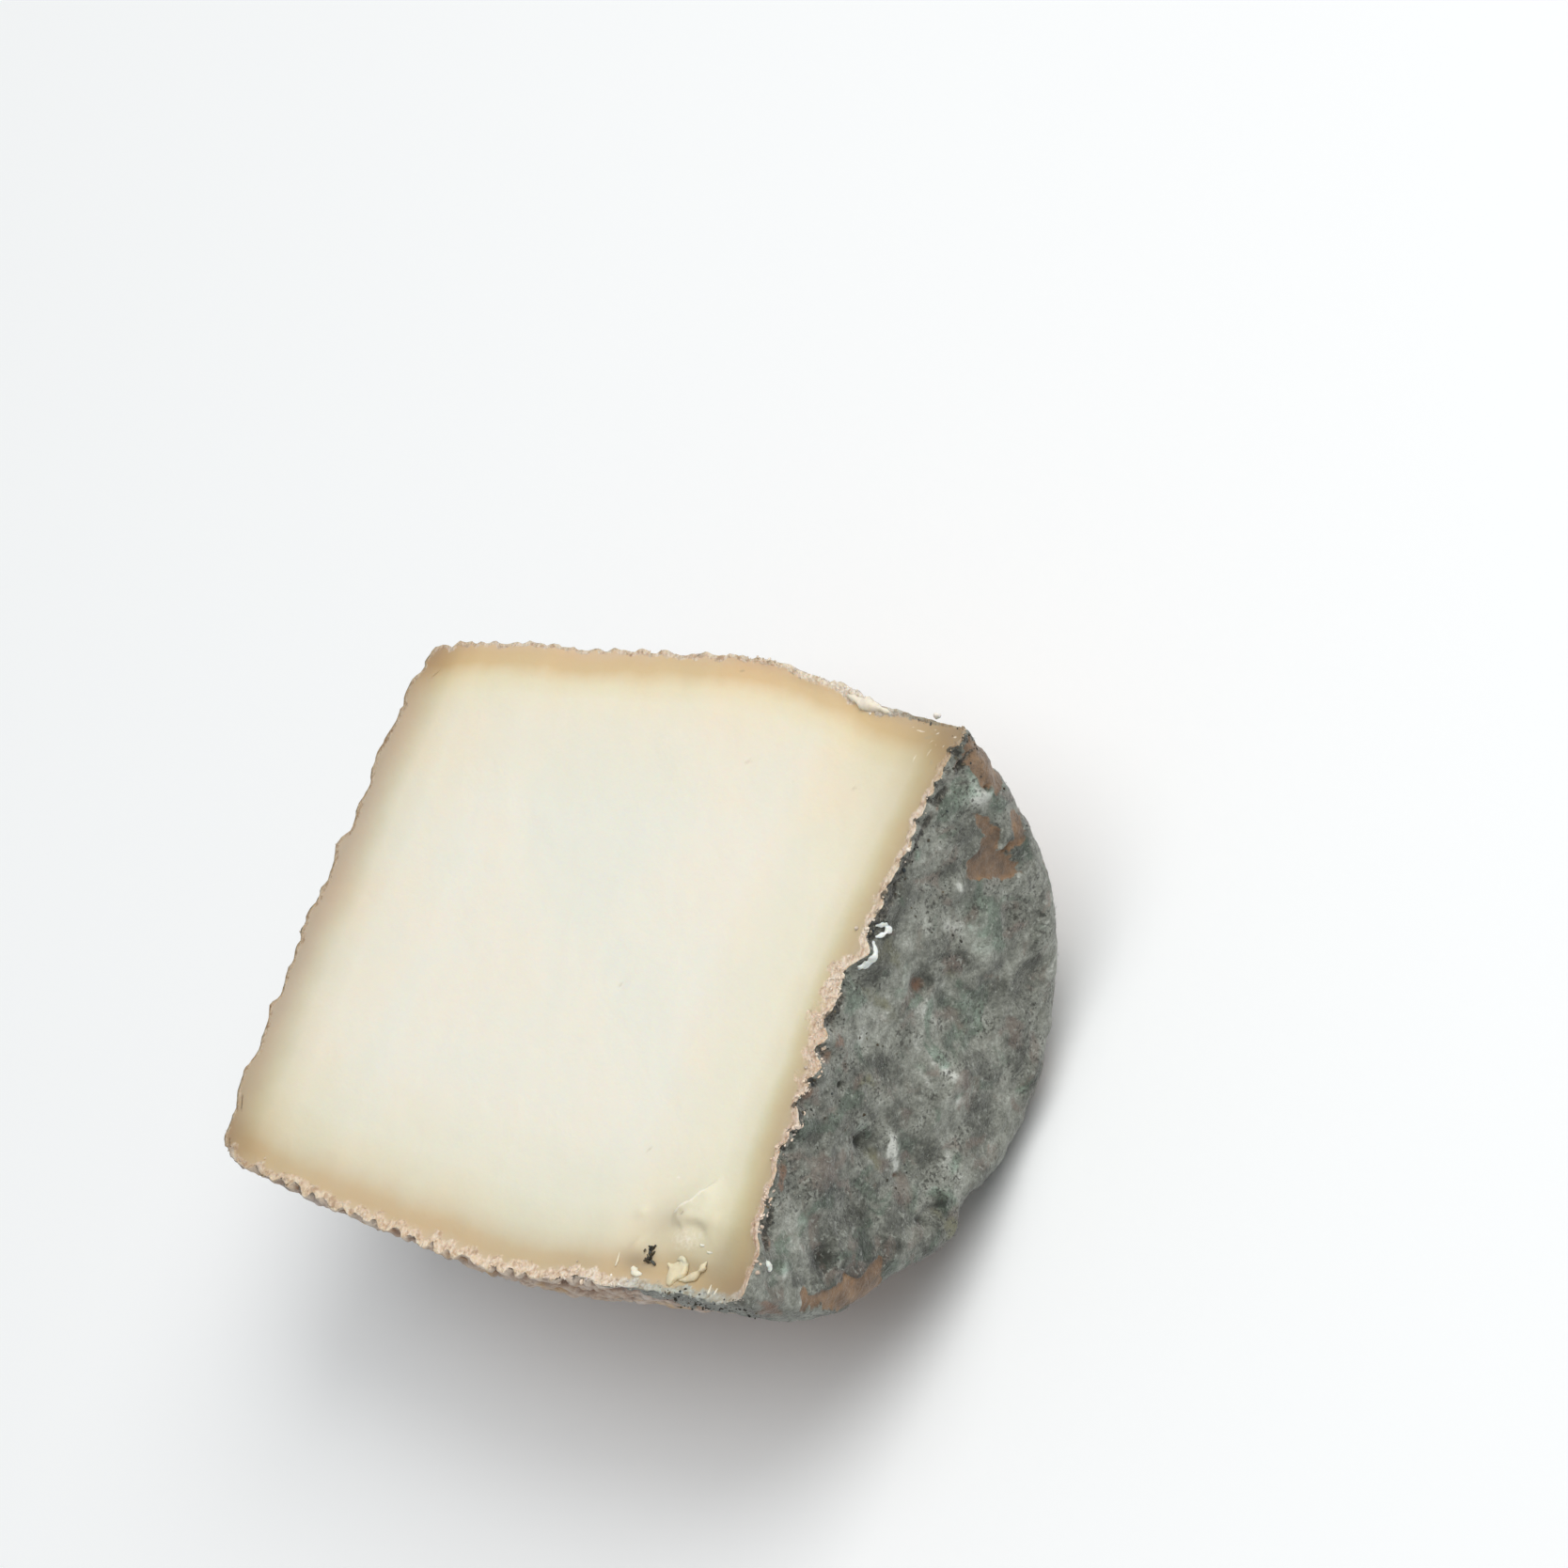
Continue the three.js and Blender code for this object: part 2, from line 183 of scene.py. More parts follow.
# Dark spots of the mould; those on the pits of MOULDY_END_PITS are partly painted shade in the pits.
DARK_SPOTS = [
    (26.7, 5.5, 0.3, 0.35, 1.6), (18, 6.4, 0.9, 1, 0.6), (19.3, 8, 0.4, 0.8, 0.5),
    (12.4, 2.6, 2.4, 1.3, 0.4), (17, 16.3, 0.9, 0.8, 0.6), (17.6, 14, 0.5, 1.2, 0.4, 40),
    (10.9, 8.5, 0.7, 0.9, 0.6), (10.6, 12.8, 1.2, 1.6, 0.45), (13.4, 17.7, 1.4, 0.8, 0.5),
    (13.6, 22.2, 2, 1.6, 0.65, -20), (6.5, 9.4, 1, 0.9, 1, 20), (7.6, 10, 0.5, 0.7, 0.8),
    (6.3, 13.6, 0.9, 1.3, 0.75), (7, 3, 1.8, 1.2, 0.45), (6.2, 25.5, 0.8, 0.7, 0.6),
    (6.4, 22.9, 0.5, 0.5, 0.6), (4, 28.6, 1.6, 0.7, 0.5), (9.4, 18.4, 0.9, 2, 0.3),
    (-3.2, 9, 1.4, 2.2, 0.55), (-3, 14.2, 0.8, 0.5, 0.5), (-6.5, 4.4, 0.25, 0.3, 2.4),
    (-10.4, 9.6, 0.8, 0.9, 1.2), (-7.2, 12.4, 1.2, 0.8, 0.4), (-2.6, 19.5, 0.2, 0.6, 0.9),
    (-8, 18.8, 1.5, 1.8, 0.5), (-4.6, 27.6, 0.5, 0.8, 0.5), (-2.6, 24.6, 1.3, 1.6, 0.45),
    (-12.2, 21.6, 0.4, 1, 1.1, -40), (-14.7, 20.2, 0.35, 0.8, 1), (-11.7, 15.9, 0.5, 0.5, 1.3),
    (-14, 17, 1, 0.8, 0.6), (-17.4, 11.6, 1.8, 1.3, 0.7), (-16.6, 6.8, 1.1, 0.7, 0.7, 30),
    (-18.6, 17.4, 0.8, 0.8, 0.7), (-12.6, 2.4, 3, 1.2, 0.4), (-23.1, 8.8, 0.9, 1.1, 1.25),
    (-22.4, 11.6, 1.2, 0.3, 0.7), (-20.4, 9.6, 1.2, 1.6, 0.3), (-26, 6.4, 0.8, 0.7, 0.6),
    (-19.6, 13.6, 2.2, 1.2, 0.4), (19.6, 20.2, 1.3, 0.16, 1.8, 42), (21.6, 5.4, 1.2, 1.8, 0.2),
    (-17.5, 7, 5, 5, 0.55), (-20.5, 13.5, 4, 3.6, 0.42), (-25.6, 11.5, 2.8, 5.4, 0.5),
    (-4.6, 8, 2.6, 4.4, 0.2), (22.5, 13, 5, 6, 0.3), (13, 21, 3.4, 3, 0.24), (9, 12.4, 2.4, 2.8, 0.16),
    (-12.4, 4.6, 3.4, 2.6, 0.2), (23.6, 11.6, 3, 2.6, 0.15),
]
TEAL_SPOTS = [
    (27, 8.2, 2.2, 1.5, 1), (23.1, 13.9, 1, 1.6, 1), (24, 4, 0.9, 3, 0.3), (15.6, 11.8, 1.4, 3, 0.6),
    (13.4, 15, 1.6, 2.6, 0.6), (6.3, 13.6, 1.4, 1.8, 0.9), (-8.8, 8.8, 1, 1, 0.7),
    (-11.8, 22.4, 1.2, 1.2, 1.3), (-13.2, 18.6, 2.4, 0.8, 0.9), (-16.6, 6.8, 1.4, 1, 0.9),
    (-19.6, 13.6, 2.4, 1.4, 0.9), (-24.4, 3.4, 1.4, 2.6, 0.5), (-5.8, 3.6, 0.5, 1, 0.8),
    (-10, 16.6, 1, 1, 0.7), (28.8, 1.2, 1, 0.8, 0.6),
]
OLIVE_SPOTS = [
    (-11.2, 11.8, 0.9, 1.3, 0.9), (7.2, 2.8, 1.6, 1.2, 0.6), (7.8, 4.9, 1.3, 1.2, 0.7),
    (3, 5, 0.8, 3.4, 0.8, 14), (-4.8, 7.4, 0.5, 1.2, 0.9), (-13.8, 24.2, 1.1, 1, 1.3),
    (-21.4, 4.4, 0.9, 1.6, 0.4), (9, 12.6, 1.2, 1.2, 0.4), (-13.6, 22.2, 0.5, 1.4, 0.6),
]
BROWN_SPOTS = [
    (6.4, 9.4, 0.8, 0.8, 1.2, 20), (27, 1.3, 0.7, 0.6, 1.5), (-11.7, 15.9, 0.5, 0.5, 1),
    (-11, 4.6, 0.7, 1, 0.5), (-12.8, 6, 0.6, 1.2, 0.5), (-30, 4.6, 0.7, 2.4, 1.5),
    (10.6, 17.4, 1, 1.4, 0.7), (-14.6, 25, 0.8, 0.8, 0.8), (20.5, 20, 2.4, 1.2, 0.5),
    (22.2, 1.4, 0.6, 0.4, 1), (-2.8, 1.6, 0.9, 0.9, 1.2), (-5.2, 1, 0.8, 0.9, 1), (-9, 0.4, 0.8, 0.8, 1),
    (-17.6, 0.8, 1.3, 0.7, 1.4), (-24.2, 0.9, 1.2, 0.6, 1.2), (-13.4, 12.8, 1, 1.6, 0.5),
    (24.8, 19.6, 3, 1.6, 0.7, 40), (-4.6, 25.8, 0.5, 0.6, 0.7), (13.6, 23, 1, 0.8, 0.6),
    (27.3, 13, 2, 0.9, 0.7, 50),
]
# Where the mould has come off and the tan rind shows: outlines in Y and depth.
BARE_OUTLINES = [
    [(30.6, 0.9), (31.0, 5.7), (29.9, 8.0), (28.9, 8.1), (27.0, 7.0), (26.8, 5.0), (27.4, 3.0), (27.9, 1.3)],
    [(23.6, 6.0), (24.4, 7.2), (24.4, 9.5), (23.5, 10.0), (22.0, 10.8), (22.8, 11.2), (24.2, 11.6),
     (25.4, 10.9), (26.8, 10.4), (27.1, 11.6), (26.6, 12.6), (24.9, 13.5), (23.9, 12.9), (22.6, 12.2),
     (22.3, 14.5), (21.7, 15.5), (20.8, 15.1), (20.1, 13.4), (19.3, 11.9), (18.9, 10.7), (18.5, 9.0),
     (19.6, 8.0), (20.9, 8.6), (22.8, 8.2)],
    [(-20.1, 16.2), (-21.5, 18.1), (-22.5, 18.8), (-23.9, 18.1), (-25.3, 16.9), (-26.3, 15.0), (-27.0, 12.4),
     (-27.1, 10.7), (-28.2, 9.8), (-28.4, 8.4), (-27.7, 6.9), (-26.8, 7.4), (-26.3, 9.4), (-25.6, 11.2),
     (-24.4, 12.1), (-23.1, 12.2), (-22.9, 14.4), (-21.8, 15.3)],
]
# Pits and lumps of the mouldy end, with the height as strength.
MOULDY_END_PITS = [
    (6.5, 9.3, 1.3, 1.2, -1.1), (-10.4, 9.7, 1.1, 1.1, -1.1), (-1.2, 17.5, 3, 3.6, 0.8),
    (-23.1, 8.9, 1.2, 1.2, -0.9), (-6.5, 4.4, 0.35, 0.35, -0.8), (25.8, 5, 1.3, 1.7, 0.5),
    (26.7, 5.5, 0.35, 0.35, -0.6), (-11.8, 16, 0.6, 0.6, -0.7), (-9.8, 14.4, 0.8, 2, 0.45, 45),
    (-25.8, 4, 0.8, 0.8, 0.4), (16.9, 8.6, 1, 1, 0.4), (-14.7, 20.2, 0.6, 1, -0.7),
    (-11.8, 22.6, 1.1, 1.1, 0.9), (-13.8, 24.2, 1.2, 1, 0.8), (-12.9, 21.4, 0.4, 1.6, -0.5, -30),
    (3, 3, 2.2, 1.8, -0.4), (-23.4, 5.4, 1.2, 2, 0.35), (17, 16.3, 0.9, 0.9, -0.5),
    (13.4, 22.2, 1.8, 1.4, -0.5), (-3.2, 9, 1.4, 2.2, -0.3), (6.3, 13.6, 1.1, 1.4, -0.45),
]
# The dark band where the rind was torn, along Y: how deep its middle lies, and its half width. Its dark is
# partly mould and partly painted shade of its crags.
TORN_MIDDLE = [
    (-31, 0.8), (-24, 1), (-16, 0.4), (-8, 0.2), (-1, 0.1), (4, 0.4), (9, 0.4), (16, 0.6), (22, 1.1),
    (28, 1.5),
]
TORN_HALF_WIDTH = [
    (-31, 0.15), (-26, 0.2), (-24, 0.55), (-22, 0.5), (-19, 0.2), (-10.5, 0.4), (-7, 0.1), (-3, 0.1),
    (-0.6, 0.7), (1.4, 0.4), (4, 0.1), (7.5, 0.5), (9, 1), (13, 1.1), (16.5, 0.7), (20, 0.5), (24, 0.5),
    (29, 0.45),
]
WHOLE_BAND = (6, 9, 15, 18)  # between these Y the band isn't broken up
# Dark pockets along the torn rim, partly dark mould and partly painted shade in the pockets: Y, how far each
# reaches onto the cut face, half width along Y.
TORN_POCKETS = [
    (29.8, 0.5, 0.5), (28.2, 0.9, 0.6), (26.2, 0.8, 0.35), (24.5, 0.7, 0.4), (22.8, 0.9, 0.45),
    (20.4, 0.5, 0.4), (18.6, 0.4, 0.4), (16, 0.4, 0.6), (12.2, 0.6, 0.8), (10.6, 0.9, 0.5),
    (8.6, 0.5, 0.4), (-0.8, 0.8, 0.5), (-4.5, 0.5, 0.5), (-7.8, 0.7, 0.4), (-10.5, 1.1, 0.35),
    (-13.2, 0.8, 0.5), (-15, 0.8, 0.35), (-20.6, 0.2, 0.5), (-22.6, 0.2, 0.4),
]
POCKET_FADE = (0.2, 0.5)  # a pocket fades between this far beyond its reach and this far short of it
POCKET_DEPTH = 1.1  # how far it reaches down the end

# ---- The cut face ----

RIM_LIFT = 0.7  # the torn rind stands up over the cut face by this much
RIM_LIFT_REACH = 0.75
CUT_WAVE_HEIGHT = 0.05
CUT_WAVE_SPACING = 6
# The rim's lumps are softer along the -Y side towards the plain end, low at the plain end's
# corners, and lower along the +Y side towards the mouldy end: between these X.
SMOOTHER_RIM_X = (14, 2)
SMOOTHER_RIM_SHARE = 0.75
SMOOTHER_SPACINGS = (4.0, 2.0)
FLAT_CORNER_X = (-38, -20)
FLAT_SMOOTHER_CORNER_X = (-40, -34)
LOW_RIM_X = (29, 32)
LOW_RIM_SHARE = 0.6
LEDGE_RAGGED = 0.35  # noise shifts the ledges by this much
LEDGE_RAGGED_SPACING = 0.9
# Hollows and pads of the smeared corner: X, Y, half length, half width, height, turn.
SMEAR_SPOTS = [
    (25.2, -25.4, 2.8, 2, -0.55, 40), (26.6, -22.2, 2.4, 0.9, -0.3, 45), (29.6, -26.2, 3.4, 1.4, 0.2, 5),
    (30.8, -29.4, 3.4, 1.2, -0.4), (32.6, -21.8, 2.6, 1.8, 0.15, 30), (7.8, -2.3, 0.55, 0.4, -0.3, 30),
    (28, -23.9, 0.3, 0.25, -0.5), (22.6, -24.6, 0.8, 0.5, 0.2, 30), (23.4, -27.8, 0.9, 0.4, 0.2, 60),
]
# Ledges: the higher ground is on the left of each curve. Curve, height, how far it runs back, and
# how wide its steep side is.
LEDGES = [
    ([(31.4, -19.0), (30.2, -20.6), (29.2, -21.9), (28.3, -22.8), (27.1, -23.6), (26.2, -24.8)],
     0.5, 2.2, 0.4),
    ([(26.2, -25.0), (27.4, -24.4), (28.6, -24.4), (30.0, -23.9), (31.4, -23.9), (32.8, -24.8),
      (34.0, -26.6)],
     0.38, 1.5, 1.0),
    ([(30.8, -19.8), (29.8, -21.2), (28.9, -22.1), (28.0, -23.0), (26.8, -23.7)], 0.2, 0.3, 0.35),
]
# Faint dark marks on the cut face: small dots, and painted shade in two small pits. X, Y, half length, half
# width, strength, turn.
FAINT_AND_PIT_SHADE_MARKS = [
    (12.7, 23.2, 0.9, 0.5, 0.9, 20), (13, 18.8, 0.7, 0.5, 0.7), (19.8, 22.2, 0.7, 0.5, 0.6),
    (28.8, 26.7, 0.35, 0.4, 1.4), (28.2, 22.7, 0.6, 0.3, 0.9, 20), (7, 32.8, 0.4, 0.3, 1.2),
    (20.3, -18.4, 0.9, 0.35, 0.8, 60), (7.8, -2.3, 0.5, 0.35, 1.3, 30), (36.6, 26.6, 0.25, 0.2, 1.5),
    (36.3, 28.2, 0.3, 0.25, 1.3), (37.4, 23.7, 0.25, 0.2, 1.5), (28.1, -23.8, 0.25, 0.22, 2.2),
    (-3.4, 8.6, 0.5, 0.4, 0.6), (2, -18, 0.5, 0.4, 0.5), (35, 29.2, 0.8, 0.3, 1.1, 20),
]
# Pale marks on the cut face: white scuffs and bits, and painted highlights on the smear's lip, pad and
# wedge. X, Y, half length, half width, strength, turn.
PALE_AND_HIGHLIT_MARKS = [
    (35.4, 28.8, 0.35, 0.12, 1.4, 30), (36.3, 28.5, 0.2, 0.15, 1.4), (35.8, 27.5, 0.2, 0.2, 1.5),
    (34.2, 26.7, 0.2, 0.15, 1.3), (38.4, 25.8, 0.2, 0.2, 1.5), (38.4, 29.7, 0.2, 0.2, 1.5),
    (33.4, 29.8, 1.3, 0.12, 1.1, -12), (35.8, 29.9, 0.9, 0.1, 1.1, -30), (37.2, 28.4, 0.5, 0.1, 1.1, 50),
    (25.5, -20.4, 0.25, 0.2, 1.5), (24, -14.9, 0.25, 0.2, 1.3), (27.2, -23.4, 0.9, 0.3, 1.5, 40),
    (28.7, -22.2, 1, 0.3, 1.5, 45), (30.1, -20.8, 1, 0.25, 0.9, 48), (29.9, -26.2, 3.8, 1.7, 0.72, 5),
    (30, -22.6, 1.8, 1.2, 0.5),
]
# Where the paste is greyish brown and see-through, and painted shade in the smeared corner's hollows and
# under its arch: X, Y, half length, half width, strength, turn.
DULL_AND_SHADED_SPOTS = [
    (42.5, 33.5, 9.8, 9.8, 1.05), (-42, 31.5, 5.6, 5.6, 0.95), (-42, -31.5, 6, 6, 1),
    (40.5, -32.5, 7.5, 5.6, 0.95), (25.4, -25, 3.2, 1.9, 0.3, 40), (30.8, -24.4, 2.4, 0.5, 0.3),
    (30.2, -26.3, 3.6, 1.2, 0.12, 5), (35.4, -26.4, 1.8, 2.8, 0.3), (24.4, -29.6, 2.2, 1.1, 0.75),
    (30.8, -28.6, 3.4, 0.9, 0.3), (18, -31, 3, 1, 0.2),
]

# ---- Small pieces ----

CRUMB_COUNT = 600
CRUMB_SIZES = (0.05, 0.24)
CRUMB_SPREAD = 0.06
CRUMB_SUNK = 0.35  # as a share of its size
CRUMB_SEED = 3
PLAIN_CRUMBS = 0.06  # how thick they lie along the plain end's edge, next to the mouldy end's
END_RIM = 3  # what is this near to an end belongs to the end's edge
DARK_CRUMB_COUNT = 470
DARK_CRUMB_SIZES = (0.04, 0.17)
DARK_CRUMB_SPREAD = 0.05
DARK_CRUMB_TONE = (70, 68, 58)
DARK_CRUMB_SHADES = (0.55, 1.5)
CLUSTER = (26.0, -28.5)  # a clot of dark crumbs on the cut face
CLUSTER_SPREAD = (0.32, 0.5)
CLUSTER_DEPTHS = (-0.3, 0.1)
CLUSTER_COUNT = 48
CLUSTER_SIZES = (0.06, 0.24)
DARK_CRUMB_SEED = 5
HAIR_COUNT = 14000
HAIR_LENGTHS = (0.15, 0.65)
HAIR_HALF_WIDTH = 0.015
HAIR_FLOW_SPACING = 6
HAIR_FLOW_PATTERN = 40
HAIR_STRAY = 0.16  # how much each strays from the flow
HAIR_SPREAD = 0.14
HAIR_RISES = (0.1, 0.75)
HAIR_SUNK = 0.03
HAIR_DARKEST, HAIR_PALEST = (66, 69, 62), (214, 217, 210)
HAIR_TONE_SPREAD = 0.16
HAIR_FADE_X = (MOULDY_END_X - 12, MOULDY_END_X - 4)  # none up to the first X, all beyond the second
HAIR_SEED = 9
TINY = 1e-9  # keeps a division from dividing by nothing

# ---- Camera ----

CAMERA_AT = (429.97, -101.81, 449.15)
CAMERA_RIGHT = (0.7141, 0.3662, -0.5966)
CAMERA_UP = (-0.1317, 0.9073, 0.3994)
CAMERA_BACK = (0.6875, -0.2066, 0.6962)
CAMERA_LENS = 135.1
SENSOR = 36.0


# ---- Small helpers ----

def mix(a, b, share):
    return a + (b - a) * share


def bump(distance, half_width):
    return np.exp(-((distance / half_width) ** 2))


def smoothstep(low, high, value):
    share = np.clip((value - low) / (high - low), 0, 1)
    return share * share * (3 - 2 * share)


def catmull_rom(a, b, c, d, steps=40):
    """Points of the smooth curve from b to c, which comes from a and goes on to d."""
    share = np.linspace(0, 1, steps)[:, None]
    cubic = (3 * b - a - 3 * c + d) * share**3
    square = (2 * a - 5 * b + 4 * c - d) * share**2
    return 0.5 * (cubic + square + (c - a) * share) + b


def smooth_curve(stations):
    """Many points of the smooth curve through stations."""
    line = np.array([stations[0], *stations, stations[-1]], float)
    return np.concatenate([catmull_rom(*four) for four in zip(line, line[1:], line[2:], line[3:])])


def through_stations(stations):
    """A smooth function through stations (x, value)."""
    curve = smooth_curve(stations)
    return lambda x: np.interp(x, curve[:, 0], curve[:, 1])


def lattice(i, j, k):
    """A fixed number from 0 to 1 for each whole-number corner."""
    i, j, k = (n.astype(np.int64).astype(np.uint32) for n in (i, j, k))
    mixed = i * np.uint32(374761393) + j * np.uint32(668265263) + k * np.uint32(1442695041)
    mixed = (mixed ^ (mixed >> np.uint32(13))) * np.uint32(1274126177)
    return (mixed ^ (mixed >> np.uint32(16))) / 2.0**32


def roughness(x, y, z, spacing):
    """Smooth noise from -1 to 1, with features about one spacing apart."""
    x, y, z = (np.asarray(n, float) / spacing for n in np.broadcast_arrays(x, y, z))
    i, j, k = np.floor(x), np.floor(y), np.floor(z)
    u, v, w = (t * t * (3 - 2 * t) for t in (x - i, y - j, z - k))
    rows = [
        [mix(lattice(i, j + dj, k + dk), lattice(i + 1, j + dj, k + dk), u) for dj in (0, 1)]
        for dk in (0, 1)
    ]
    layers = [mix(near, far, v) for near, far in rows]
    return 2 * mix(*layers, w) - 1


def fractal(points, spacing, octaves=3, seed=0):
    """Noise of several sizes, each half as large and half as strong as the one before."""
    x, y, z = points.T + 31.7 * seed
    total = sum(roughness(x, y + 17.3 * n, z, spacing / 2**n) / 2**n for n in range(octaves))
    return total / (2 - 2.0 ** (1 - octaves))


def wander(points, spacing, seed):
    """A smooth random shift for each point."""
    return np.column_stack([fractal(points, spacing, 2, seed=seed + axis) for axis in range(3)])


def lumpy(points, spacings, seed=0):
    """Rounded lumps of several sizes with narrow creases between them, from 0 to about 1."""
    layers = [
        np.sqrt(np.abs(fractal(points, spacing, 1, seed=seed + n)))
        for n, spacing in enumerate(spacings)
    ]
    weights = 1 / (1 + np.arange(len(layers)))
    return sum(weight * layer for weight, layer in zip(weights, layers)) / weights.sum()


def graded(low, high, step_at):
    """Places from low to high, whose spacing follows step_at."""
    places = [low]
    while places[-1] < high:
        places.append(places[-1] + step_at(places[-1]))
    places = np.array(places)
    return low + (places - low) * (high - low) / (places[-1] - low)


def shares(points):
    """How far along its length each point of a row lies, from 0 to 1."""
    run = np.append(0, np.cumsum(np.linalg.norm(np.diff(points, axis=0), axis=1)))
    return run / run[-1]


def along_row(points, at):
    """Points at shares of a row's length."""
    run = shares(points)
    return np.column_stack([np.interp(at, run, points[:, axis]) for axis in range(points.shape[1])])


def spot_distance(spot, a, b):
    """Distance from a spot's middle, where 1 is its edge."""
    at_a, at_b, half_a, half_b = spot[:4]
    turn = math.radians(spot[5] if len(spot) > 5 else 0)
    cos, sin = math.cos(turn), math.sin(turn)
    along = cos * (a - at_a) + sin * (b - at_b)
    aside = cos * (b - at_b) - sin * (a - at_a)
    return np.hypot(along / half_a, aside / half_b)


def soft_spots(spots, a, b):
    return sum(spot[4] * bump(spot_distance(spot, a, b), 1) for spot in spots)


def to_segment(here, start, end):
    """Where each point is nearest to a segment, from 0 to 1 along it, and how far from it."""
    along = end - start
    share = np.clip((here - start) @ along / (along @ along), 0, 1)
    return share, np.linalg.norm(here - start - share[:, None] * along, axis=1)


def beside_curve(curve, x, y):
    """Distance from a curve, positive on its left, and how far along the curve, from 0 to 1."""
    here = np.column_stack([x, y])
    signed = np.full(len(here), np.inf)
    place = np.zeros(len(here))
    corners = np.array(curve, float)
    for number, (start, end) in enumerate(zip(corners, corners[1:])):
        share, distance = to_segment(here, start, end)
        along, away = end - start, here - start
        side = np.sign(along[0] * away[:, 1] - along[1] * away[:, 0])
        nearer = distance < np.abs(signed)
        signed = np.where(nearer, side * distance, signed)
        place = np.where(nearer, (number + share) / (len(curve) - 1), place)
    return signed, place


def inside_distance(outline, a, b):
    """Distance from a closed outline, positive inside it."""
    here = np.column_stack([a, b])
    nearest = np.full(len(here), np.inf)
    inside = np.zeros(len(here), bool)
    corners = np.array(outline, float)
    for start, end in zip(corners, np.roll(corners, -1, axis=0)):
        along = end - start
        nearest = np.minimum(nearest, to_segment(here, start, end)[1])
        crosses = (start[1] > here[:, 1]) != (end[1] > here[:, 1])
        slope = along[0] / along[1] if along[1] else 0
        inside ^= crosses & (here[:, 0] < start[0] + slope * (here[:, 1] - start[1]))
    return np.where(inside, nearest, -nearest)


# ---- The barrel's form ----

upper_half_width = through_stations(UPPER_EDGE)
lower_half_width = through_stations(LOWER_EDGE)
torn_middle = through_stations(TORN_MIDDLE)
torn_half_width = through_stations(TORN_HALF_WIDTH)
BELLY_RADIUS = float(upper_half_width(BELLY_X) + lower_half_width(BELLY_X)) / 2
CUT_HEIGHT = BELLY_RADIUS - CUT_SHORT_OF_AXIS - REST_FLAT_DEPTH


def barrel_radius(x, angle):
    """Radius of the skin at x, at an angle round the axis from +Y through the belly to -Y."""
    round_part = mix(lower_half_width(x), upper_half_width(x), (1 + np.cos(angle)) / 2)
    degrees = np.degrees(angle)
    fade = bump(MOULDY_END_X - x, RIM_DENT_REACH)
    dents = sum(depth * bump(degrees - at, half_width) for at, depth, half_width in RIM_DENTS)
    return round_part - fade * dents


def across(radius, angle):
    """Y and depth of a point at a radius and an angle."""
    return radius * np.cos(angle), np.maximum(radius - CUT_SHORT_OF_AXIS, 0) * np.sin(angle)


# Every ring is a half circle of points (x, y, depth) from +Y to -Y, with the way out of the
# skin at each point.
def make_ring(x, radius, angles, outward, lean):
    y, depth = across(radius, angles)
    position = np.column_stack([np.broadcast_to(x, y.shape), y, depth])
    along, away = outward * math.cos(lean), math.sin(lean)
    way_out = np.column_stack([np.full_like(y, along), away * np.cos(angles), away * np.sin(angles)])
    return position, way_out


def ring_angles(radius, facet):
    steps = max(2, round(math.pi * float(radius) / facet))
    return np.linspace(0, math.pi, steps + 1)


def shoulder_at(end, angles):
    sharper = SHARPER_BESIDE_CUT if end["outward"] > 0 else 0
    return end["shoulder"] - sharper * bump(np.sin(angles), SHARPER_REACH)


def end_ring(end, share):
    angles = ring_angles((barrel_radius(end["x"], 0) - end["shoulder"]) * share, end["facet"])
    radius = (barrel_radius(end["x"], angles) - shoulder_at(end, angles)) * share
    x = end["x"] + end["outward"] * end["crown"] * (1 - share * share)
    return make_ring(x, radius, angles, end["outward"], 0)


def shoulder_ring(end, turn):
    lean = turn * math.pi / 2
    angles = ring_angles(barrel_radius(end["x"], 0), end["facet"])
    shoulder = shoulder_at(end, angles)
    x = end["x"] - end["outward"] * shoulder * (1 - math.cos(lean))
    radius = barrel_radius(end["x"], angles) - shoulder * (1 - math.sin(lean))
    return make_ring(x, radius, angles, end["outward"], lean)


def side_facet(x):
    far, near = MOULDY_FACET_REACH
    return mix(SIDE_FACET, MOULDY_FACET, smoothstep(MOULDY_END_X - far, MOULDY_END_X - near, x))


def side_ring(x):
    angles = ring_angles(barrel_radius(x, 0), side_facet(x))
    near_end = smoothstep(MOULDY_END_X - 12, MOULDY_END_X - MOULDY_SHOULDER, x)
    x = x + near_end * (MOULDY_SHOULDER - shoulder_at(MOULDY_END, angles))
    return make_ring(x, barrel_radius(x, angles), angles, 1, math.pi / 2)


def end_of_barrel(x, outward, shoulder, crown, facet):
    """An end's sizes, and how many rings its flat part and its shoulder take."""
    flat_steps = round((float(barrel_radius(x, 0)) - shoulder) / facet)
    shoulder_steps = 2 * round(shoulder * math.pi / 4 / facet)
    return {
        "x": x, "outward": outward, "shoulder": shoulder, "crown": crown, "facet": facet,
        "flat_steps": flat_steps, "shoulder_steps": shoulder_steps,
    }


PLAIN_END = end_of_barrel(PLAIN_END_X, -1, PLAIN_SHOULDER, PLAIN_END_CROWN, SIDE_FACET)
MOULDY_END = end_of_barrel(MOULDY_END_X, 1, MOULDY_SHOULDER, -MOULDY_END_DISH, MOULDY_FACET)


def end_rings(end):
    flat = [end_ring(end, step / end["flat_steps"]) for step in range(1, end["flat_steps"] + 1)]
    steps = end["shoulder_steps"]
    return flat + [shoulder_ring(end, step / steps) for step in range(1, steps + 1)]


def barrel_rings():
    first, last = PLAIN_END_X + PLAIN_SHOULDER, MOULDY_END_X - MOULDY_SHOULDER
    side = [side_ring(x) for x in graded(first, last, side_facet)[1:-1]]
    return end_rings(PLAIN_END) + side + end_rings(MOULDY_END)[::-1]


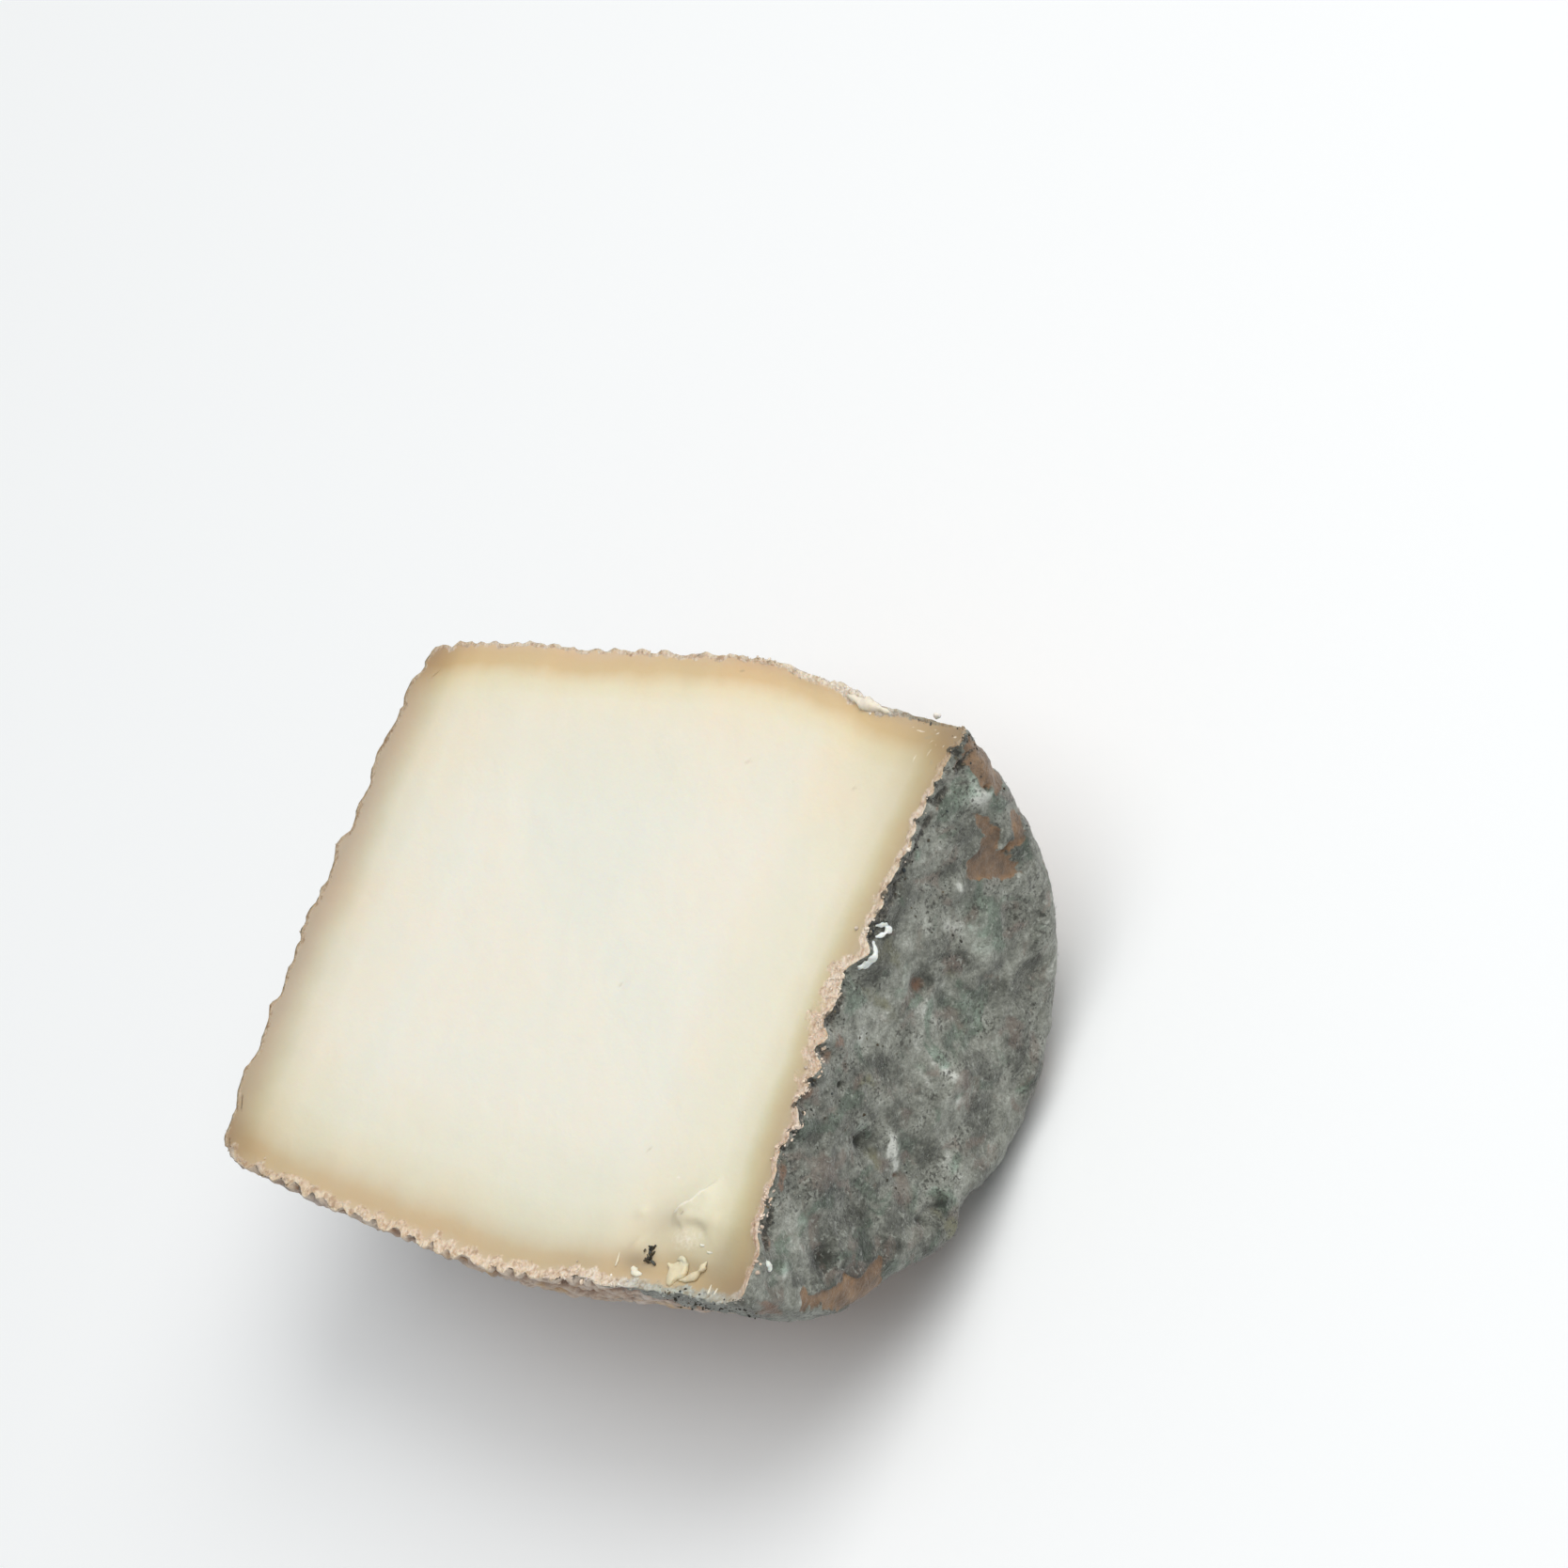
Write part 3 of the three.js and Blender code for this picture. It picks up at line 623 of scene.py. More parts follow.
def join_rows(left, right, left_shares, right_shares, triangles):
    """Joins two rows of vertex numbers, of unlike counts, with a band of triangles."""
    i, j = 0, 0
    while i < len(left) - 1 or j < len(right) - 1:
        left_next = left_shares[i + 1] if i < len(left) - 1 else 2
        right_next = right_shares[j + 1] if j < len(right) - 1 else 2
        if left_next <= right_next:
            triangles.append((left[i], left[i + 1], right[j]))
            i += 1
        else:
            triangles.append((left[i], right[j + 1], right[j]))
            j += 1


# ---- Wrinkles ----

def outside_distance(x, y, depth):
    """Roughly how far a point lies outside the barrel's skin, negative inside."""
    angle = np.arctan2(depth, y)
    radial = np.hypot(y, depth) - barrel_radius(x, angle)
    return np.maximum.reduce([radial, x - MOULDY_END_X, PLAIN_END_X - x])


def grow_wrinkles():
    """Brain-like wrinkles on the box of cells: noise whose crests are sharpened again and again."""
    axes = [np.arange(low, high, WRINKLE_CELL) for low, high in WRINKLE_BOX]
    x, y, depth = np.meshgrid(*axes, indexing="ij")
    near_skin = bump(outside_distance(x, y, depth), WRINKLE_SKIN)
    waves = [np.fft.fftfreq(n, WRINKLE_CELL) * 2 * math.pi for n in x.shape]
    waves[2] = np.fft.rfftfreq(x.shape[2], WRINKLE_CELL) * 2 * math.pi
    kx, ky, kz = np.meshgrid(*waves, indexing="ij")
    square = kx**2 + (ky**2 + kz**2) * WRINKLE_STRETCH**2
    filters = [np.exp(-(width**2) * square / 2) for width in (WRINKLE_NARROW, 2 * WRINKLE_NARROW)]

    def blur(spectrum, kernel):
        return np.fft.irfftn(spectrum * kernel, s=x.shape)

    skin_spectrum = np.fft.rfftn(near_skin)
    coverage = [blur(skin_spectrum, kernel) + 0.01 for kernel in filters]
    height = np.random.default_rng(WRINKLE_SEED).standard_normal(x.shape)
    for _ in range(WRINKLE_STEPS):
        spectrum = np.fft.rfftn(height * near_skin)
        near, far = (blur(spectrum, kernel) / cover for kernel, cover in zip(filters, coverage))
        height = near - far
        spread = math.sqrt((height**2 * near_skin).sum() / near_skin.sum())
        height = np.tanh(WRINKLE_GAIN * height / spread)
    return height


def read_box(values, points):
    """Values of the box of cells at points (x, y, depth), smoothly between the cells."""
    low = np.array([low for low, _ in WRINKLE_BOX])
    place = (points - low) / WRINKLE_CELL
    cell = np.clip(np.floor(place).astype(int), 0, np.array(values.shape) - 2)
    share = np.clip(place - cell, 0, 1)
    total = 0
    for corner in np.ndindex(2, 2, 2):
        weight = np.prod(np.where(corner, share, 1 - share), axis=1)
        total = total + weight * values[tuple((cell + corner).T)]
    return total


# ---- Relief and tones of the skin ----

def lumps_beside_cut(lumps, y, depth):
    """Height of an end's lumps, which run down from the cut."""
    return sum(
        height * bump(y - at, half_width) * bump(depth, LUMP_REACH * half_width)
        for at, height, half_width in lumps
    )


def mould_share(points, way_out):
    """The mould covers its end and comes along the side in tongues."""
    x, y, depth = points.T
    angle = np.arctan2(depth, y)
    turned = np.column_stack([TONGUE_TURN * angle, 0 * angle, 0 * angle])
    reach = MOULD_REACH + TONGUE_REACH * fractal(turned, TONGUE_SPACING, 3, seed=4)
    reach = reach + LOWER_EDGE_REACH * bump(angle - math.pi, LOWER_EDGE_ANGLE)
    reach = reach + RAGGED_REACH * fractal(points, RAGGED_SPACING, 3, seed=67)
    beyond, short = MOULD_FADE
    on_side = smoothstep(reach + beyond, reach - short, MOULDY_END_X - x)
    return np.maximum(smoothstep(0.2, 0.8, way_out[:, 0]), on_side)


def bare_share(y, depth):
    """0.5 at the edge of a bare patch, and 1 half a millimetre inside it."""
    inside = np.max([inside_distance(outline, y, depth) for outline in BARE_OUTLINES], axis=0)
    return np.clip(0.5 + inside, 0, 1)


def torn_pockets(y, from_cut_edge):
    """Dark pockets of the torn rim, partly dark mould and partly painted shade, at a distance onto the cut
    face, negative down the end.
    """
    beyond, short = POCKET_FADE
    return np.max([
        bump(y - at, half_width) * smoothstep(reach + beyond, reach - short, from_cut_edge)
        for at, reach, half_width in TORN_POCKETS
    ], axis=0)


def torn_share(points):
    """The dark torn band, which is whole in one stretch and broken up elsewhere, and its pockets; their dark
    is partly mould and partly painted shade.
    """
    y, depth = points[:, 1], points[:, 2]
    half_width = torn_half_width(y)
    band = bump(depth - torn_middle(y), half_width) * smoothstep(0.1, 0.4, half_width)
    start, whole, less_whole, end = WHOLE_BAND
    whole_stretch = smoothstep(start, whole, y) * smoothstep(end, less_whole, y)
    unbroken = smoothstep(-0.5, 0.1, fractal(points, 1.5, 2, seed=61) + whole_stretch)
    return np.maximum(band * unbroken, torn_pockets(y, -depth) * bump(depth, POCKET_DEPTH))


def skin_tones(points, way_out, wrinkle):
    """Soft masks from 0 to 1 that the skin's shader sharpens."""
    x, y, depth = (points + SPOT_WANDER * wander(points, SPOT_WANDER_SPACING, 62)).T
    mouldy = smoothstep(0.1, 0.5, way_out[:, 0])
    blown = points + CLOUD_WANDER * wander(points, CLOUD_WANDER_SPACING, 66)
    clouds = CLOUD_STRENGTH * fractal(blown, CLOUD_SPACING, 3, seed=70)
    spots = soft_spots(PALE_SPOTS, y, depth) - soft_spots(DARK_SPOTS, y, depth)
    return {
        "crest": 0.5 + 0.5 * np.tanh(1.5 * wrinkle),
        "mould": mould_share(points, way_out),
        "pale": mouldy * spots + clouds,
        "teal": mouldy * soft_spots(TEAL_SPOTS, y, depth),
        "olive": mouldy * soft_spots(OLIVE_SPOTS, y, depth),
        "brown": mouldy * soft_spots(BROWN_SPOTS, y, depth),
        "bare": mouldy * bare_share(y, depth),
        "torn": mouldy * torn_share(points),
        "near_cut": bump(depth, 0.7),
    }


def wrinkle_relief(points, wrinkle, mould, calmer_beside_cut):
    """Wrinkles and the small folds on them. Under the mould they are shallower."""
    uneven = 0.85 + 0.6 * fractal(points, WRINKLE_UNEVEN, 2, seed=5)
    uneven *= (1 - 0.8 * mould) * (1 - 0.5 * bump(points[:, 2], 3) * calmer_beside_cut)
    folds = (0.5 * np.tanh(1.3 * wrinkle) - 0.25) * uneven
    pucker = PUCKER_HEIGHT * fractal(points, PUCKER_SPACING, 2, seed=6)
    pucker *= 1 - 0.5 * mould
    return WRINKLE_HEIGHT * folds + pucker


def mouldy_end_relief(points, tones):
    """Crags and pits, lower bare patches, and the crumbling torn band."""
    y, depth = points[:, 1], points[:, 2]
    layers = sum(
        height * roughness(MOULDY_END_PATTERN + 9 * n, y, depth, spacing)
        for n, (height, spacing) in enumerate(MOULD_LAYERS)
    )
    bare = smoothstep(0.35, 0.65, tones["bare"])
    crags = layers * (1 - 0.8 * bare) - BARE_DEPTH * bare + soft_spots(MOULDY_END_PITS, y, depth)
    crumble = TORN_CRUMBLE_HEIGHT * fractal(points, TORN_CRUMBLE_SPACING, 2, seed=7)
    torn = tones["torn"] * (crumble - TORN_DROP)
    return crags + torn + lumps_beside_cut(MOULDY_END_LUMPS, y, depth)


def skin_height(points, way_out, wrinkle, tones):
    """How far the skin stands out of its smooth form."""
    x, y, depth = points.T
    z = CUT_HEIGHT - depth
    plain = np.clip(-way_out[:, 0], 0, 1)
    mouldy = np.clip(way_out[:, 0], 0, 1)
    side = np.hypot(way_out[:, 1], way_out[:, 2])
    calm = smoothstep(0, CALM_REACH, np.hypot(np.hypot((x - BELLY_X) / CALM_STRETCH, y), z))
    swell = SWELL_HEIGHT * roughness(x, y, z, SWELL_SPACING) * side
    wrinkled = wrinkle_relief(points, wrinkle, tones["mould"], np.maximum(plain, y > 0))
    wrinkled = wrinkled * (side + plain)
    on_mouldy = mouldy * mouldy_end_relief(points, tones)
    on_plain = plain * lumps_beside_cut(PLAIN_END_LUMPS, y, depth)
    tear = TEAR_HEIGHT * (lumpy(points, TEAR_SPACINGS, TEAR_PATTERN) - 0.5) * bump(depth, TEAR_REACH)
    tear = tear * (SIDE_TEARS * side + MOULDY_TEARS * mouldy + PLAIN_TEARS * plain)
    return calm * (swell + wrinkled) + on_mouldy + on_plain + tear


# ---- The cut face ----

def smear_height(x, y):
    """Height of the smeared corner: soft spots, and ledges with a ragged steep side."""
    height = soft_spots(SMEAR_SPOTS, x, y)
    ragged = LEDGE_RAGGED * fractal(np.column_stack([x, y, 0 * x]), LEDGE_RAGGED_SPACING, 2, seed=81)
    for curve, rise, run, face in LEDGES:
        beside, place = beside_curve(curve, x, y)
        beside = beside + ragged
        whole = smoothstep(0, 0.3, place) * smoothstep(1, 0.7, place)
        back = bump(np.maximum(beside, 0), run)
        height = height + whole * rise * smoothstep(-face, 0, beside) * back
    return height


def cut_height_at(x, y, to_rim):
    """Height of the cut face: faint waves, the smear, and the torn rind's lumps along the rim."""
    points = np.column_stack([x, y, np.zeros_like(x)])
    waves = CUT_WAVE_HEIGHT * fractal(points, CUT_WAVE_SPACING, 3, seed=8)
    lumps = lumpy(points, TEAR_SPACINGS, TEAR_PATTERN) * smoothstep(*FLAT_CORNER_X, x - np.abs(y))
    smoother = lumpy(points, SMOOTHER_SPACINGS, TEAR_PATTERN) * smoothstep(*FLAT_SMOOTHER_CORNER_X, x)
    lumps = mix(lumps, smoother, SMOOTHER_RIM_SHARE * (smoothstep(*SMOOTHER_RIM_X, x) * (y < 0)))
    lumps *= 1 - LOW_RIM_SHARE * smoothstep(*LOW_RIM_X, x) * (y > 0)
    return waves + smear_height(x, y) + RIM_LIFT * lumps * bump(to_rim, RIM_LIFT_REACH)


def cut_facet_x(x):
    near_edge = smoothstep(1, 0, np.minimum(x - PLAIN_END_X, MOULDY_END_X - x) - FINE_RIM)
    return mix(CUT_FACET, FINE_CUT_FACET, max(near_edge, smoothstep(FINE_FROM_X - 3, FINE_FROM_X, x)))


def cut_facet_y(y):
    near_edge = smoothstep(1, 0, BELLY_RADIUS - 3 - abs(y) - FINE_RIM)
    return mix(CUT_FACET, FINE_CUT_FACET, max(near_edge, smoothstep(FINE_TO_Y + 3, FINE_TO_Y, y)))


def inset_shares(low, high, facet_at):
    """Shares of the cut's width where its grid has lines."""
    places = (graded(low, high, facet_at) - low) / (high - low)
    return CUT_INSET + (1 - 2 * CUT_INSET) * places


def coons_patch(left, right, bottom, top, u, v):
    """Fills a four-sided outline. left and right run up, bottom and top run from left to right."""
    rows = [along_row(side, v)[:, None] for side in (left, right)]
    columns = [along_row(side, u)[None] for side in (bottom, top)]
    u, v = u[None, :, None], v[:, None, None]
    corners = mix(mix(left[0], right[0], u), mix(left[-1], right[-1], u), v)
    return mix(*rows, u) + mix(*columns, v) - corners


def cut_tones(x, y, outline):
    """Distances from the four edges of the cut face, and from its torn rim."""
    tree = KDTree(sum(len(side) for side in outline))
    for number, point in enumerate(np.concatenate(outline)):
        tree.insert((point[0], point[1], 0), number)
    tree.balance()
    to_rim = np.array([tree.find((a, b, 0))[2] for a, b in zip(x, y)])
    dish = MOULDY_END_DISH * (1 - (y / (BELLY_RADIUS - MOULDY_SHOULDER)) ** 2)
    from_mouldy = MOULDY_END_X - np.maximum(dish, 0) - x
    pocket = torn_pockets(y, np.where(x > FINE_FROM_X, to_rim, FAR))
    return {
        "to_rim": to_rim,
        "from_plain": x - PLAIN_END_X,
        "from_mouldy": from_mouldy,
        "from_lower": y + lower_half_width(x),
        "from_upper": upper_half_width(x) - y,
        "dull_and_shade": soft_spots(DULL_AND_SHADED_SPOTS, x, y),
        "faint_and_pit_shade": soft_spots(FAINT_AND_PIT_SHADE_MARKS, x, y),
        "light": soft_spots(PALE_AND_HIGHLIT_MARKS, x, y),
        "pocket": pocket * smoothstep(3, 1.5, from_mouldy),
    }


# What the rind looks like where it was cut: place along each edge, colour, width of the cut rind.
UPPER_RIM = [
    (-40, (200, 182, 160), 0.5), (-30, (222, 208, 190), 0.45), (8, (224, 208, 188), 0.5),
    (13, (236, 224, 206), 0.6), (20, (242, 232, 217), 0.8), (26, (243, 234, 220), 1.1),
    (29, (206, 202, 192), 0.7), (32, (164, 162, 150), 0.4), (37, (160, 150, 130), 0.3),
    (40, (182, 162, 138), 0.3),
]
LOWER_RIM = [
    (-40, (206, 186, 162), 0.5), (-25, (234, 215, 191), 0.8), (0, (240, 221, 198), 1.0),
    (15, (238, 219, 198), 1.2), (22, (240, 226, 208), 1.1), (26, (206, 206, 196), 1.0),
    (30, (192, 196, 186), 1.0), (36, (190, 192, 182), 0.9), (40, (174, 173, 162), 0.7),
]
PLAIN_RIM = [
    (-32, (206, 188, 164), 0.4), (-10, (200, 182, 158), 0.5), (14, (194, 176, 152), 0.5),
    (30, (198, 182, 158), 0.4),
]
MOULDY_RIM = [
    (-32, (206, 186, 166), 0.6), (-24, (226, 204, 184), 0.8), (-14, (230, 210, 190), 0.9),
    (-8, (232, 212, 191), 1.3), (-3, (236, 216, 195), 2.2), (3, (238, 221, 201), 2.0),
    (6, (236, 220, 200), 1.2), (14, (230, 214, 194), 0.9), (22, (226, 210, 192), 0.9),
    (27, (208, 190, 164), 0.7), (32, (180, 162, 138), 0.3),
]
CORNER_BLEND = 0.8  # at a corner the two edges' colours blend over about this much


def rim_tones(x, y, tones):
    """The rind's colour beside each point, as shares of a screen's colours, and its width there."""
    edges = [
        (UPPER_RIM, tones["from_upper"], x), (LOWER_RIM, tones["from_lower"], x),
        (PLAIN_RIM, tones["from_plain"], y), (MOULDY_RIM, tones["from_mouldy"], y),
    ]
    weights = [np.exp(-np.maximum(distance, 0) / CORNER_BLEND) for _, distance, _ in edges]
    total = 0
    for weight, (stops, _, along) in zip(weights, edges):
        places = [stop[0] for stop in stops]
        columns = np.array([(*tone, width) for _, tone, width in stops]) / (255, 255, 255, 1)
        here = np.column_stack([np.interp(along, places, column) for column in columns.T])
        total = total + weight[:, None] * here
    total = total / sum(weights)[:, None]
    return total[:, :3], total[:, 3]


# ---- The whole cheese as one closed mesh ----

def to_blender(points):
    """Points (x, y, depth) in millimetres as Blender coordinates, kept inside the frame's box."""
    x, y, depth = points.T
    placed = np.column_stack([x + CENTRING_X, y, np.maximum(CUT_HEIGHT - depth, 0)]) * MM
    low, high = (np.array(corner) for corner in cad_box)
    return np.clip(placed, low, high)


def build_mesh(name, points, triangles, materials, material_of=None, smooth=True):
    mesh = bpy.data.meshes.new(name)
    mesh.vertices.add(len(points))
    mesh.vertices.foreach_set("co", np.ascontiguousarray(points, np.float32).ravel())
    mesh.loops.add(3 * len(triangles))
    mesh.loops.foreach_set("vertex_index", np.ascontiguousarray(triangles, np.int32).ravel())
    mesh.polygons.add(len(triangles))
    mesh.polygons.foreach_set("loop_start", np.arange(0, 3 * len(triangles), 3, dtype=np.int32))
    for material in materials:
        mesh.materials.append(material)
    if material_of is not None:
        mesh.polygons.foreach_set("material_index", material_of.astype(np.int32))
    mesh.polygons.foreach_set("use_smooth", np.full(len(triangles), smooth))
    mesh.update()
    mesh.validate()
    piece = bpy.data.objects.new(name, mesh)
    bpy.context.scene.collection.objects.link(piece)
    return piece


def add_mask(piece, name, values):
    attribute = piece.data.attributes.new(name, "FLOAT", "POINT")
    attribute.data.foreach_set("value", np.ascontiguousarray(values, np.float32))


def add_colours(piece, name, screen):
    """A colour for each vertex, from shares of red, green and blue on a screen."""
    attribute = piece.data.attributes.new(name, "FLOAT_COLOR", "POINT")
    clipped = np.clip(screen, 0, 1)
    bright = np.where(clipped <= 0.04045, clipped / 12.92, ((clipped + 0.055) / 1.055) ** 2.4)
    attribute.data.foreach_set("color", np.column_stack([bright, np.ones(len(bright))]).ravel())


def skin_rows():
    """The rings as one list of points, and the numbers of each ring's points."""
    rings = barrel_rings()
    starts = np.cumsum([0] + [len(position) for position, _ in rings])
    numbers = [list(range(start, end)) for start, end in zip(starts, starts[1:])]
    return np.concatenate([p for p, _ in rings]), np.concatenate([w for _, w in rings]), numbers


def build_skin():
    """Points of the smooth skin, the way out at each, triangles, ring numbers, middles of the ends."""
    points, way_out, rings = skin_rows()
    triangles = []
    for left, right in zip(rings, rings[1:]):
        even = [np.linspace(0, 1, len(ring)) for ring in (right, left)]
        join_rows(right, left, *even, triangles)
    middles = []
    for nearest, end in ((rings[0], PLAIN_END), (rings[-1], MOULDY_END)):
        middles.append(len(points))
        points = np.vstack([points, points[[nearest[0], nearest[-1]]].mean(0)])
        way_out = np.vstack([way_out, [end["outward"], 0, 0]])
        for a, b in zip(nearest, nearest[1:]):
            triangles.append((middles[-1], a, b) if end["outward"] < 0 else (middles[-1], b, a))
    return points, way_out, triangles, rings, middles


def cut_outline(rings, middles):
    """The rings' own ends as the left, right, lower and upper sides of the cut face."""
    firsts = [ring[0] for ring in rings]
    lasts = [ring[-1] for ring in rings]
    plain = PLAIN_END["flat_steps"] + PLAIN_END["shoulder_steps"] // 2
    mouldy = len(rings) - MOULDY_END["flat_steps"] - MOULDY_END["shoulder_steps"] // 2
    left = lasts[plain::-1] + [middles[0]] + firsts[: plain + 1]
    right = lasts[mouldy:] + [middles[1]] + firsts[: mouldy - 1 : -1]
    return left, right, lasts[plain : mouldy + 1], firsts[plain : mouldy + 1]


def build_cut(points, sides, triangles):
    """Fills the cut face, adds its triangles, and gives the points with the new ones."""
    outline = [points[side] for side in sides]
    u = inset_shares(PLAIN_END_X, MOULDY_END_X, cut_facet_x)
    v = inset_shares(-BELLY_RADIUS + 3, BELLY_RADIUS - 3, cut_facet_y)
    patch = coons_patch(*outline, u, v)
    grid = len(points) + np.arange(len(u) * len(v)).reshape(len(v), len(u))
    points = np.vstack([points, patch.reshape(-1, 3)])
    left, right, bottom, top = sides
    bands = ((grid[:, 0], left), (right, grid[:, -1]), (bottom, grid[0]), (grid[-1], top))
    for near, far in bands:
        near, far = list(near), list(far)
        join_rows(near, far, shares(points[near]), shares(points[far]), triangles)
    a, b, c, d = (grid[:-1, :-1], grid[:-1, 1:], grid[1:, 1:], grid[1:, :-1])
    corners = [np.stack(three, -1).reshape(-1, 3) for three in ((a, b, c), (a, c, d))]
    return points, np.concatenate([np.array(triangles), *corners]), outline


def vertex_areas(points, triangles):
    a, b, c = (points[triangles[:, corner]] for corner in range(3))
    area = np.linalg.norm(np.cross(b - a, c - a), axis=1) / 6
    return np.bincount(triangles.ravel(), np.repeat(area, 3), len(points))


def vertex_normals(piece):
    """The way out of the surface at each vertex, along X, Y and depth."""
    normals = np.empty(3 * len(piece.data.vertices), np.float32)
    piece.data.vertex_normals.foreach_get("vector", normals)
    return normals.reshape(-1, 3) * (1, 1, -1)


def build_cheese(skin, paste):
    """The cheese, and what its small pieces need to know of its surface."""
    smooth, way_out, triangles, rings, middles = build_skin()
    shift = WRINKLE_WANDER * wander(smooth, WRINKLE_WANDER_SPACING, 80)
    wrinkle = read_box(grow_wrinkles(), smooth + shift)
    skin_masks = skin_tones(smooth, way_out, wrinkle)
    height = skin_height(smooth, way_out, wrinkle, skin_masks)
    points = smooth + way_out * height[:, None]
    skin_triangles, skin_points = len(triangles), len(points)
    sides = cut_outline(rings, middles)
    points, triangles, outline = build_cut(points, sides, triangles)

    x, y = points[:, 0], points[:, 1]
    tones = cut_tones(x, y, outline)
    on_cut = np.arange(len(points)) >= skin_points
    on_cut[np.concatenate(sides)] = True
    points[on_cut, 2] = -cut_height_at(x, y, tones["to_rim"])[on_cut]

    material_of = np.arange(len(triangles)) >= skin_triangles
    cheese = build_mesh("cheese", to_blender(points), triangles, [skin, paste], material_of)
    padding = np.zeros(len(points) - skin_points)
    masks = {name: np.append(values, padding) for name, values in skin_masks.items()} | tones
    for name, values in masks.items():
        add_mask(cheese, name, values)
    rim, rim_width = rim_tones(x, y, tones)
    add_colours(cheese, "rim_tint", rim)
    add_mask(cheese, "rim_place", tones["to_rim"] / rim_width)
    return cheese, masks | {
        "points": points, "areas": vertex_areas(points, triangles), "on_cut": on_cut,
        "normals": vertex_normals(cheese), "rim": rim, "rim_width": rim_width,
    }


# ---- Small pieces on the cheese ----

def ball():
    """Points and triangles of a ball of radius 1."""
    shape = bmesh.new()
    bmesh.ops.create_icosphere(shape, subdivisions=2, radius=1)
    points = np.array([vertex.co for vertex in shape.verts])
    faces = np.array([[vertex.index for vertex in face.verts] for face in shape.faces])
    shape.free()
    return points, faces


def repeated(faces, points_each, count):
    """The faces of one small shape, for count of them in a row."""
    return (faces[None] + points_each * np.arange(count)[:, None, None]).reshape(-1, 3)


def random_turns(rng, count):
    """Matrices that turn things each in its own way."""
    turns = np.linalg.qr(rng.standard_normal((count, 3, 3)))[0]
    turns[:, :, 0] *= np.sign(np.linalg.det(turns))[:, None]
    return turns


def build_lumps(name, middles, sizes, colours, material, rng):
    """Many small lumps as one piece, each stretched, turned and dented in its own way."""
    points, faces = ball()
    count = len(middles)
    own_place = points[None] * 0.9 + 40 * np.arange(count)[:, None, None]
    dents = 1 + 0.6 * fractal(own_place.reshape(-1, 3), 0.9, 2).reshape(count, -1, 1)
    stretch = rng.uniform(0.45, 1.4, (count, 1, 3))
    turned = (points * dents * stretch) @ random_turns(rng, count)
    placed = middles[:, None] + sizes[:, None, None] * turned
    # Depth points down, so the order of each face's corners turns round.
    triangles = repeated(faces[:, ::-1], len(points), count)
    piece = build_mesh(name, to_blender(placed.reshape(-1, 3)), triangles, [material])
    add_colours(piece, "tint", np.repeat(colours, len(points), axis=0))
    return piece


def draw_sizes(rng, sizes, count):
    """Many small ones and few large ones."""
    return mix(*sizes, rng.uniform(0, 1, count) ** 2.2)


def choose_points(weights, count, rng):
    """Numbers of random vertices, more often those of more weight."""
    return rng.choice(len(weights), count, p=weights / weights.sum())


def long_edge_crumbs(x, y):
    """How thick crumbs lie along the long edges, next to the mouldy end's edge."""
    upper = 0.12 + 0.5 * (smoothstep(5, 12, x) * smoothstep(32, 28, x))
    lower = 0.07 + 0.45 * smoothstep(8, 18, x) + 0.5 * smoothstep(25, 28, x)
    return np.where(y > 0, upper, lower)


def rim_crumbs(surface, material):
    rng = np.random.default_rng(CRUMB_SEED)
    x, y, depth = surface["points"].T
    place = surface["to_rim"] / surface["rim_width"]
    beside = np.where(surface["on_cut"], bump(place, 0.8), bump(depth - 0.1, 0.35))
    clumps = smoothstep(-0.2, 0.4, fractal(surface["points"], 2.2, 2, seed=10))
    share = np.where(surface["from_plain"] < END_RIM, PLAIN_CRUMBS, long_edge_crumbs(x, y))
    share = np.where(surface["from_mouldy"] < END_RIM, 1, share)
    chosen = choose_points(surface["areas"] * beside * (0.1 + clumps) * share, CRUMB_COUNT, rng)
    sizes = draw_sizes(rng, CRUMB_SIZES, CRUMB_COUNT)
    middles = surface["points"][chosen] + rng.normal(0, CRUMB_SPREAD, (CRUMB_COUNT, 3))
    middles -= CRUMB_SUNK * sizes[:, None] * surface["normals"][chosen]
    lightness = rng.normal(1.0, 0.06, (CRUMB_COUNT, 1))
    warmth = rng.normal(0, 0.012, (CRUMB_COUNT, 1)) * (1, 0, -1)
    colours = surface["rim"][chosen] * lightness + warmth
    return build_lumps("rind_crumbs", middles, sizes, colours, material, rng)


def dark_crumbs(surface, material):
    rng = np.random.default_rng(DARK_CRUMB_SEED)
    x = surface["points"][:, 0]
    specked_top = bump(surface["from_upper"] - 0.3, 0.4) * smoothstep(31, 33, x)
    specked_bottom = bump(surface["from_lower"] - 0.2, 0.5) * smoothstep(25, 30, x)
    wanted = surface["torn"] * (1 - surface["on_cut"]) + 0.5 * surface["pocket"]
    wanted += 0.5 * specked_top + 0.55 * specked_bottom
    chosen = choose_points(surface["areas"] * wanted, DARK_CRUMB_COUNT, rng)
    middles = surface["points"][chosen] + rng.normal(0, DARK_CRUMB_SPREAD, (DARK_CRUMB_COUNT, 3))
    cluster = np.column_stack([
        *(rng.normal(at, spread, CLUSTER_COUNT) for at, spread in zip(CLUSTER, CLUSTER_SPREAD)),
        rng.uniform(*CLUSTER_DEPTHS, CLUSTER_COUNT),
    ])
    middles = np.vstack([middles, cluster])
    loose_sizes = draw_sizes(rng, DARK_CRUMB_SIZES, DARK_CRUMB_COUNT)
    sizes = np.append(loose_sizes, draw_sizes(rng, CLUSTER_SIZES, CLUSTER_COUNT))
    shades = rng.uniform(*DARK_CRUMB_SHADES, (len(sizes), 1))
    warmth = rng.normal(0, 0.03, (len(sizes), 1)) * (1, 0.3, -0.5)
    colours = np.array(DARK_CRUMB_TONE) / 255 * shades + warmth
    return build_lumps("mould_crumbs", middles, sizes, colours, material, rng)


